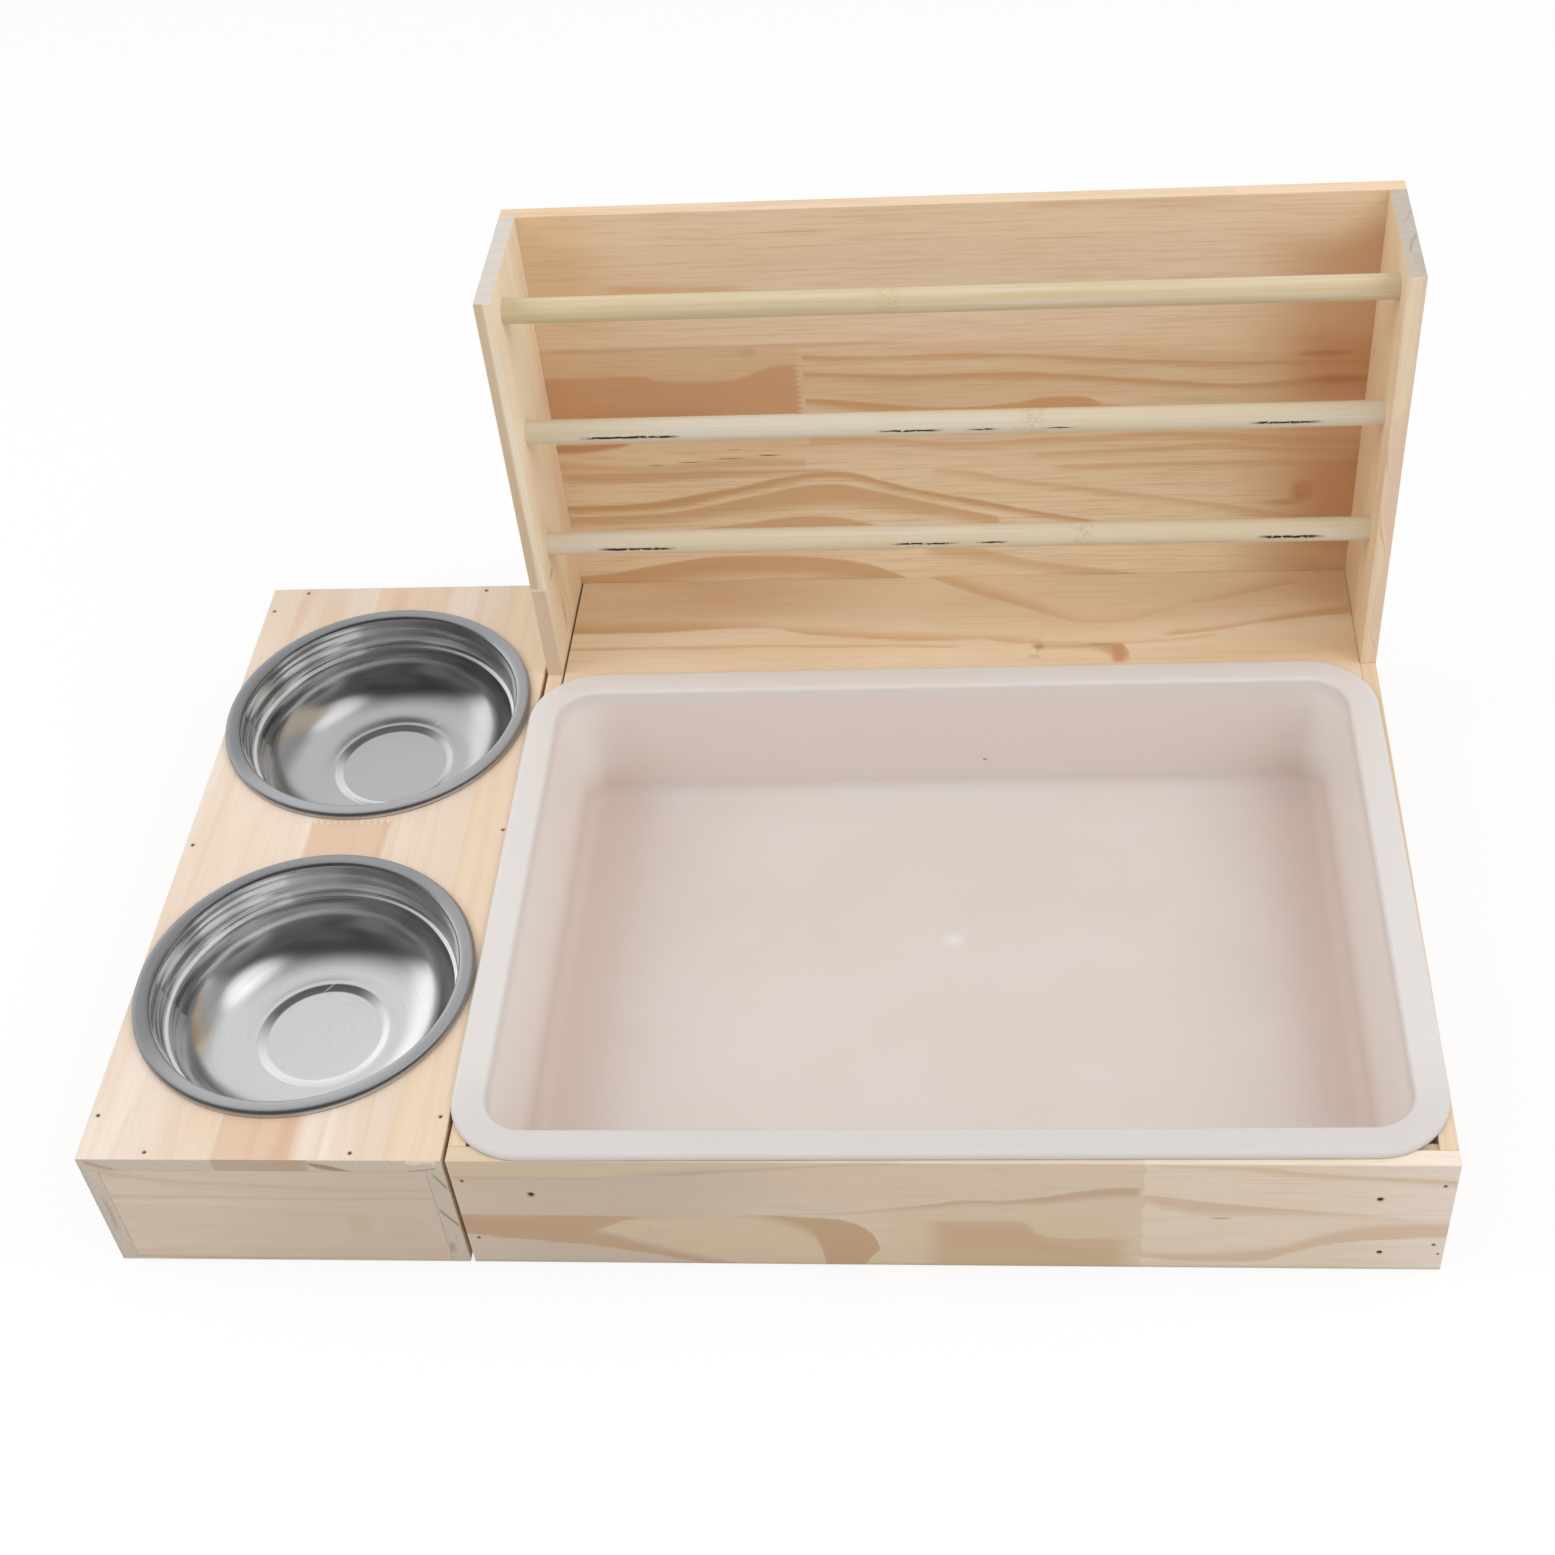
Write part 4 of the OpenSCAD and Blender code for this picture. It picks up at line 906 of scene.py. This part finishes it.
# The rim's shade and pale tones, the ring's dark and pale arcs and the wall and flank sheen curves are
# painted shade, painted light and painted reflections.
steel = dict(
    rimInner=72.5, rimHeight=bowl["rimTop"], wallStart=(66.6, 68), flankStart=(57, 65), flankTop=(62.6, 61),
    ring=(27.2, 31.7), glint=2.2, roughInside=0.16, roughRim=0.34, brush=0.9, grooves=0.05,
    bright=(0.62, 0.625, 0.63, 1), dull=(0.37, 0.375, 0.385, 1), shade=(0.24, 0.243, 0.25, 1),
    pale=(0.43, 0.435, 0.44, 1), satin=(0.8, 0.805, 0.81, 1), dark=(0.42, 0.42, 0.43, 1),
    bare=(0.9, 0.9, 0.9, 1), paintedRingShade=(0.07, 0.07, 0.075, 1), paintedRingLight=(0.95, 0.95, 0.95, 1),
    paintedWallSheen=(0, 0.35, 0.083, 0.5, 0.25, 0.5, 0.42, 0.6, 0.5, 0.7, 0.58, 0.5, 0.64, 0.15, 0.7, 0.3, 0.75,
               0.2, 0.8, 0.4, 0.84, 0.95, 0.87, 0.6, 0.9, 0.95, 0.93, 0.4, 0.96, 0.65, 1.0, 0.35),
    paintedFlankSheen=(0, 0.3, 0.08, 0.5, 0.25, 0.6, 0.38, 0.9, 0.45, 0.95, 0.5, 0.6, 0.55, 0.15, 0.62, 0.05,
                0.75, 0.05, 0.83, 0.15, 0.88, 0.45, 0.93, 0.45, 0.97, 0.2, 1.0, 0.3),
)


def bowlLine(b):
    top, disc = b["rimTop"], b["seat"] - b["depth"] + b["wall"]
    base = disc + b["discDrop"]
    bead, shoulder = b["beadRadius"], b["beadHeight"] - b["beadStep"]
    flat = b["discRadius"] - b["discSlope"]
    line = [(0, disc), (flat - 0.7, disc), (flat, disc + 0.08)]
    line += [(b["discRadius"] - 0.6, base - 0.14), (b["discRadius"], base)]
    line += arc((b["baseRadius"], shoulder), (bead - b["baseRadius"], shoulder - base), -90, -4, 24)
    line += arc((bead + 0.9, shoulder + 0.1), 0.9, 175, 90, 6)
    line += [(bead + 1.5, shoulder + 1.15)]
    line += arc((bead + 1.6, shoulder + 1.7), 0.5, -85, -10, 4)
    line += arc((bead + 3.2, shoulder + 3.1), 1.1, 225, 135, 8)
    line += [(bead + 2.8, shoulder + 5.2), (b["mouthRadius"] - 0.3, top - 5)]
    line += [(radius, top + drop) for radius, drop in b["crown"]]
    return line + [(b["rimRadius"], b["seat"])]


for side, own in bowl["each"].items():
    material = steelMaterial(side + "BowlSteel", dict(steel, **own))
    piece = turnShell(side + "Bowl", bowlLine(bowl), bowl, own["middle"], material)
    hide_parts("bowl_" + side)
    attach(piece, side + "_bowl")
print("bowls")


# Tray

tray = dict(
    cornerRadius=34.5, sides=(363.5, 244.5), rimWidth=15.5, top=79, wall=1.8, floor=12, lean=7, fillet=8,
    edgeRadius=2.2, middle=(80.1, -41.65), turn=0.5, steps=18, lipDrop=3,
)
plastic = dict(
    middle=tray["middle"], floorHeight=tray["floor"], rimHeight=tray["top"], footStart=180, milk=0.35,
    floor=(222, 213, 209), floorWarm=(221, 210, 203), wall=(229, 216, 208), sideWall=(240, 231, 225),
    foot=(223, 202, 191), rim=(224, 218, 215), rimFront=(214, 208, 205),
    gate=(2, 26), gateTone=(236, 232, 232), speck=(17, 32), speckTone=(120, 104, 98),
)


def trayLine(t):
    inner = t["cornerRadius"] - t["rimWidth"]
    footRadius = inner - t["lean"] - t["fillet"]
    edge, lip = t["edgeRadius"], t["top"] - t["edgeRadius"]
    line = [(0, t["floor"]), (footRadius * 0.5, t["floor"])]
    line += arc((footRadius, t["floor"] + t["fillet"]), t["fillet"], -90, 0, 12)
    line += arc((inner + edge, lip), edge, 175, 90, 7)
    line += arc((t["cornerRadius"] - edge, lip), edge, 90, 0, 7)
    return line + [(t["cornerRadius"], t["top"] - t["lipDrop"])]


def plasticMaterial(name, look):
    material, tree, where = newMaterial(name)
    spot = split(where)
    x, y = [part - start for part, start in zip(spot, look["middle"])]
    z = spot[2]
    up = z - look["floorHeight"]
    side = abs(x) - look["footStart"]
    cloud = noise(vector(x * 0.012, y * 0.016, z * 0.01), 2)
    colour = blend(cloud.ease(0.35, 0.65), look["floor"], look["floorWarm"])
    wallTone = blend(side.ease(-10, 12), look["wall"], look["sideWall"])
    colour = blend(up.ease(2, 14), colour, wallTone)
    colour = blend(up.ease(26, 4) * side.ease(-34, 0) * 0.6, colour, look["foot"])
    rimTone = blend(y.ease(-90, -148), look["rim"], look["rimFront"])
    colour = blend(z.ease(look["rimHeight"] - 12, look["rimHeight"] - 1), colour, rimTone)
    colour = blend(spotMask(x, y, look["gate"], (8.0, 7.0), 0.9) * 0.7, colour, look["gateTone"])
    speck = spotMask(x, z, look["speck"], (1.6, 0.9), 0.6) * y.ease(100, 120)
    colour = blend(speck * 0.7, colour, look["speckTone"])
    bump = (noise(where, 2, 0.5, 0.8), 0.05, 0.3 * mm)
    return finishMaterial(material, colour, cloud.between(0.34, 0.46), bump, {
        "Subsurface Weight": look["milk"], "Subsurface Radius": (1.0, 0.8, 0.7), "Subsurface Scale": 4 * mm,
        "Specular IOR Level": 0.4,
    })


milkyPlastic = plasticMaterial("milkyPlastic", plastic)
trayPiece = turnShell("liftOutTray", trayLine(tray), tray, tray["middle"], milkyPlastic)
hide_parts("tray")
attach(trayPiece, "tray")
print("tray")


# Rods: one bamboo rod, repeated up the rack

rods = dict(
    first=(-127.3, 138, 146), length=419.6, diameter=12, gap=69, count=3, swell=0.04, around=40, rows=180,
)
bamboo = dict(
    low=rods["first"][2], gap=rods["gap"], depth=rods["first"][1],
    light=(224, 214, 196), warm=(222, 207, 176), line=(202, 184, 148), knuckle=(190, 160, 108),
    tint=(208, 187, 146), streak=(38, 31, 24),
    streaks=[
        (1, -99, -46, -2, 6), (1, 46, 82, -1, 4.5), (1, 89, 109, -2, 3), (1, 112, 122, -1, 2),
        (1, 126, 146, -2, 2), (1, 224, 262, -1, 5),
        (0, -100, -56, 0, 6), (0, 50, 88, 0, 4.5), (0, 92, 114, 1, 3.5), (0, 232, 269, 1, 6.5),
    ],
    knuckles=[(2, 57), (1, 124), (0, 148)],
)


def bambooMaterial(name, look):
    material, tree, where = newMaterial(name)
    x, deep, high = split(where)
    half = look["gap"] / 2
    lift = high - look["low"] + half
    number = (lift / look["gap"]).math("FLOOR")
    up = calc(tree, "FLOORED_MODULO", lift, look["gap"]) - half
    out = look["depth"] - deep  # towards the front
    angle = calc(tree, "ARCTAN2", up, out) * degrees

    def strands(alongScale, aroundScale, shift, detail):
        start = number * 17.7 + shift
        return noise(vector(x * alongScale + start, up * aroundScale, out * aroundScale), detail, 0.6)

    def onRod(row):
        return calc(tree, "COMPARE", number, row, 0.5)

    colour = blend(strands(0.006, 0.12, 2.0, 2).ease(0.35, 0.65), look["light"], look["warm"])
    colour = blend(strands(0.004, 1.6, 9.0, 3).ease(0.45, 0.7) * 0.35, colour, look["line"])
    tinted = onRod(2) * strands(0.008, 0.5, 51.0, 3).ease(0.25, 0.7, (0.3, 0.95))
    colour = blend(tinted, colour, look["tint"])
    frayed = (strands(0.22, 0.6, 31.0, 3) - 0.5) * 14.0 + angle
    broken = strands(0.35, 0.4, 63.0, 2).ease(0.3, 0.44)
    for row, start, end, lean, reach in look["streaks"]:
        mask = useGroup(tree, figureAndShadeBand, {
            "Along": x, "Across": frayed, "Upper": lean + reach + 2.0, "Lower": lean - reach - 2.0,
            "Soft Upper": 2.5, "Soft Lower": 2.5, "Start": start, "End": end, "Soft Ends": 9.0,
        })["Mask"]
        colour = blend(mask * onRod(row) * broken, colour, look["streak"])
    height = strands(0.01, 2.4, 5.0, 3).between(0, 0.5)
    for row, at in look["knuckles"]:
        mark = abs(x - at).ease(9, 1) * onRod(row) * strands(0.5, 1.1, 44.0, 3).ease(0.44, 0.62)
        colour = blend(mark * 0.35, colour, look["knuckle"])
        height = height + mark
    rough = strands(0.02, 1.0, 14.0, 2).between(0.38, 0.55)
    return finishMaterial(material, colour, rough, (height, 0.25, 0.3 * mm))


def makeRodRow():
    tree, given = startShape("rodRow", {
        "Count": "Int", "Gap": "Float", "First": "Vector", "Length": "Float", "Radius": "Float",
        "Swell": "Float", "Rows": "Int", "Around": "Int", "Material": "Material",
    })
    line = wire(tree, "GeometryNodeMeshLine", {
        "Count": given["Count"], "Start Location": given["First"], "Offset": vector(0.0, 0.0, given["Gap"]),
    })
    path = wire(tree, "GeometryNodeCurvePrimitiveLine", {"End": vector(given["Length"], 0.0, 0.0)})
    cut = wire(tree, "GeometryNodeResampleCurve", {"Curve": path, "Count": given["Rows"]})
    ring = wire(tree, "GeometryNodeCurvePrimitiveCircle", {
        "Resolution": given["Around"], "Radius": given["Radius"],
    }, "Curve")
    rod = wire(tree, "GeometryNodeCurveToMesh", {"Curve": cut, "Profile Curve": ring, "Fill Caps": True})
    placed = wire(tree, "GeometryNodeInstanceOnPoints", {"Points": line, "Instance": rod})
    real = wire(tree, "GeometryNodeRealizeInstances", {"Geometry": placed})
    parts = split(wire(tree, "GeometryNodeInputPosition"))
    lift = (noise(vector(parts[0] * 16.0, 0.0, parts[2] * 30.0), 1) - 0.5) * given["Swell"]
    shifted = wire(tree, "GeometryNodeSetPosition", {"Geometry": real, "Offset": vector(0.0, lift, lift)})
    return finishShape(tree, shifted, given["Material"])


rodPiece = runShape("rackRods", makeRodRow(), {
    "Count": rods["count"], "Gap": rods["gap"] * mm, "First": tuple(v * mm for v in rods["first"]),
    "Length": rods["length"] * mm, "Radius": rods["diameter"] / 2 * mm, "Swell": rods["swell"] * mm,
    "Rows": rods["rows"], "Around": rods["around"], "Material": bambooMaterial("bambooRod", bamboo),
})
for face in rodPiece.data.polygons:
    face.use_smooth = len(face.vertices) == 4
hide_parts("rod_bottom", "rod_middle", "rod_top")
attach(rodPiece, "frame")
print("rods")


# Nails: one nail, set at each place with its head just under the wood

nails = dict(
    thin=1.5, sunk=0.6, longThin=20, around=20, face=-200,
    front=[(-127.5, 19), (-127.5, 61.5), (292.5, 19), (292.5, 61.5), (295, 12)],
)


def metalMaterial(name, light, dark, rough, metal):
    material, tree, where = newMaterial(name)
    blotch = noise(where, 3, 0.6, 0.9)
    colour = blend(blotch.ease(0.35, 0.65), light, dark)
    return finishMaterial(material, colour, blotch.between(*rough), extra={"Metallic": metal})


def makeNailSet():
    tree, given = startShape("nailSet", {
        "Radius": "Float", "Length": "Float", "Facing": "Vector", "Material": "Material",
    })
    shank = wire(tree, "GeometryNodeMeshCylinder", {
        "Vertices": nails["around"], "Radius": given["Radius"], "Depth": given["Length"],
    }, "Mesh")
    hung = wire(tree, "GeometryNodeTransform", {
        "Geometry": shank, "Translation": vector(0.0, 0.0, given["Length"] * -0.5),
    })
    rotate = wire(tree, "FunctionNodeAlignRotationToVector", {"Vector": given["Facing"]}, axis="Z")
    placed = wire(tree, "GeometryNodeInstanceOnPoints", {
        "Points": given["Geometry"], "Instance": hung, "Rotation": rotate,
    })
    return finishShape(tree, placed, given["Material"])


nailMetal = metalMaterial("nailHead", (96, 68, 52), (58, 40, 30), (0.5, 0.75), 0.2)
screwMetal = metalMaterial("screwZinc", (150, 146, 138), (108, 104, 98), (0.3, 0.5), 1.0)
pinWood = metalMaterial("pinWood", (222, 202, 164), (204, 178, 136), (0.55, 0.7), 0.0)

frontNails = runShape("frontNails", makeNailSet(), {
    "Radius": nails["thin"] / 2 * mm, "Length": (nails["longThin"] - nails["sunk"]) * mm,
    "Facing": (0.0, -1.0, 0.0), "Material": nailMetal,
}, [(x * mm, (nails["face"] + nails["sunk"]) * mm, z * mm) for x, z in nails["front"]])
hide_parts("box_brads")
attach(frontNails, "frame")

plainLooks = {
    "stand_brads": nailMetal, "block_nails": nailMetal, "rack_brads": nailMetal,
    "joining_screws": screwMetal, "joining_spacers": screwMetal, "panel_pins": pinWood,
}
for node, material in plainLooks.items():
    cadNodes[node].data.materials.clear()
    cadNodes[node].data.materials.append(material)
print("nails and screws")


# Floor, light and camera

studio = dict(
    floorSize=8, floorDrop=0.4, floorBounce=0.6, floorGlow=0.8, ambient=0.68, aim=(0, 0, 0.05),
    lampSize=1.2,
    lamps=dict(right=((1.4, -0.25, 1.5), 11), left=((-1.4, -0.25, 1.5), 11), fill=((0.9, -1.6, 0.9), 3)),
    domeRadius=3.4, back=1.0, front=0.07, side=0.5, glare=1.6, box=1.1, boxAim=(0.28, 0.13, 0.951),
    stray=0.06,
)
white = (1, 1, 1, 1)


def seenStraight(tree):  # 1 where the camera sees a point, also by a mirror or through glass
    camera, glossy, clear = [wire(tree, "ShaderNodeLightPath", output=f"Is {kind} Ray")
                             for kind in ("Camera", "Glossy", "Transmission")]
    return calc(tree, "MAXIMUM", camera, calc(tree, "MAXIMUM", glossy, clear))


floorMaterial = bpy.data.materials.new("paleFloor")
tree = emptyTree(floorMaterial)
bounce = wire(tree, "ShaderNodeBsdfDiffuse", {"Color": (studio["floorBounce"],) * 3 + (1,)})
paper = wire(tree, "ShaderNodeBsdfDiffuse", {"Color": white})
glow = wire(tree, "ShaderNodeEmission", {"Color": white, "Strength": 1.0})
shownFloor = wire(tree, "ShaderNodeMixShader", {0: studio["floorGlow"], 1: paper, 2: glow})
either = wire(tree, "ShaderNodeMixShader", {0: seenStraight(tree), 1: bounce, 2: shownFloor})
place(tree, "ShaderNodeOutputMaterial", {0: either})
half = studio["floorSize"] / 2
square = [(-half, -half), (half, -half), (half, half), (-half, half)]
floorMesh = bpy.data.meshes.new("floor")
floorMesh.from_pydata([(x, y, -studio["floorDrop"] * mm) for x, y in square], [], [(0, 1, 2, 3)])
floorMesh.materials.append(floorMaterial)
floor = addObject("floor", floorMesh)

world = bpy.data.worlds.new("studio")
scene.world = world
tree = emptyTree(world)
strength = seenStraight(tree).between(studio["ambient"], 1.0)
sky = wire(tree, "ShaderNodeBackground", {"Color": white, "Strength": strength})
place(tree, "ShaderNodeOutputWorld", {0: sky})

for name, (at, power) in studio["lamps"].items():
    light = bpy.data.lights.new(name, "AREA")
    light.shape = "SQUARE"
    light.size = studio["lampSize"]
    light.energy = power
    holder = addObject(name, light)
    holder.location = at
    holder.rotation_euler = (Vector(studio["aim"]) - Vector(at)).to_track_quat("-Z", "Y").to_euler()
    holder.visible_camera = False
    holder.visible_glossy = False

# What shiny pieces reflect: bright paper behind, dark room in front, seen by glossy rays only
domeMaterial = bpy.data.materials.new("studioDome")
tree = emptyTree(domeMaterial)
where = wire(tree, "ShaderNodeTexCoord", output="Object")
aim = wire(tree, "ShaderNodeVectorMath", {0: where}, operation="NORMALIZE")
x, y, z = split(aim)
lift = calc(tree, "ARCTAN2", z, y) * degrees
stray = noise(aim, 2, 0.5, 2.4).ease(0.46, 0.62) * lift.ease(92, 115)
right = x.ease(0.1, 0.45) * y.ease(0.0, 0.3)
low = x.ease(-0.38, -0.54) * z.ease(0.72, 0.58)
toBox = wire(tree, "ShaderNodeVectorMath", {0: aim, 1: studio["boxAim"]}, "Value", operation="DOT_PRODUCT")
shine = stray * studio["stray"] + lift.ease(60, 98, (studio["back"], studio["front"]))
shine = shine * right.between(1.0, studio["side"]) * low.between(1.0, studio["glare"])
shine = shine + toBox.ease(0.935, 0.99, (0, studio["box"]))
glowing = wire(tree, "ShaderNodeEmission", {"Color": white, "Strength": shine})
place(tree, "ShaderNodeOutputMaterial", {0: glowing})
domeMesh = bpy.data.meshes.new("studioDome")
work = bmesh.new()
bmesh.ops.create_uvsphere(work, u_segments=64, v_segments=32, radius=studio["domeRadius"])
bmesh.ops.delete(work, geom=[v for v in work.verts if v.co.z < -0.01], context="VERTS")
work.to_mesh(domeMesh)
work.free()
domeMesh.materials.append(domeMaterial)
dome = addObject("studioDome", domeMesh)
for ray in ("camera", "diffuse", "transmission", "shadow", "volume_scatter"):
    setattr(dome, "visible_" + ray, False)

view = dict(
    at=(0.11844, -0.7803, 0.86287), turn=(44.9514, 3.8611, 3.1833), shift=(-0.03178, 0.03008),
    lens=52.924, sensor=36,
)
lens = bpy.data.cameras.new("photoCamera")
lens.sensor_width = view["sensor"]
lens.lens = view["lens"]
lens.shift_x, lens.shift_y = view["shift"]
camera = addObject("photoCamera", lens)
camera.location = view["at"]
camera.rotation_euler = [math.radians(a) for a in view["turn"]]
scene.camera = camera
scene.view_settings.view_transform = "Standard"
print("studio and camera")
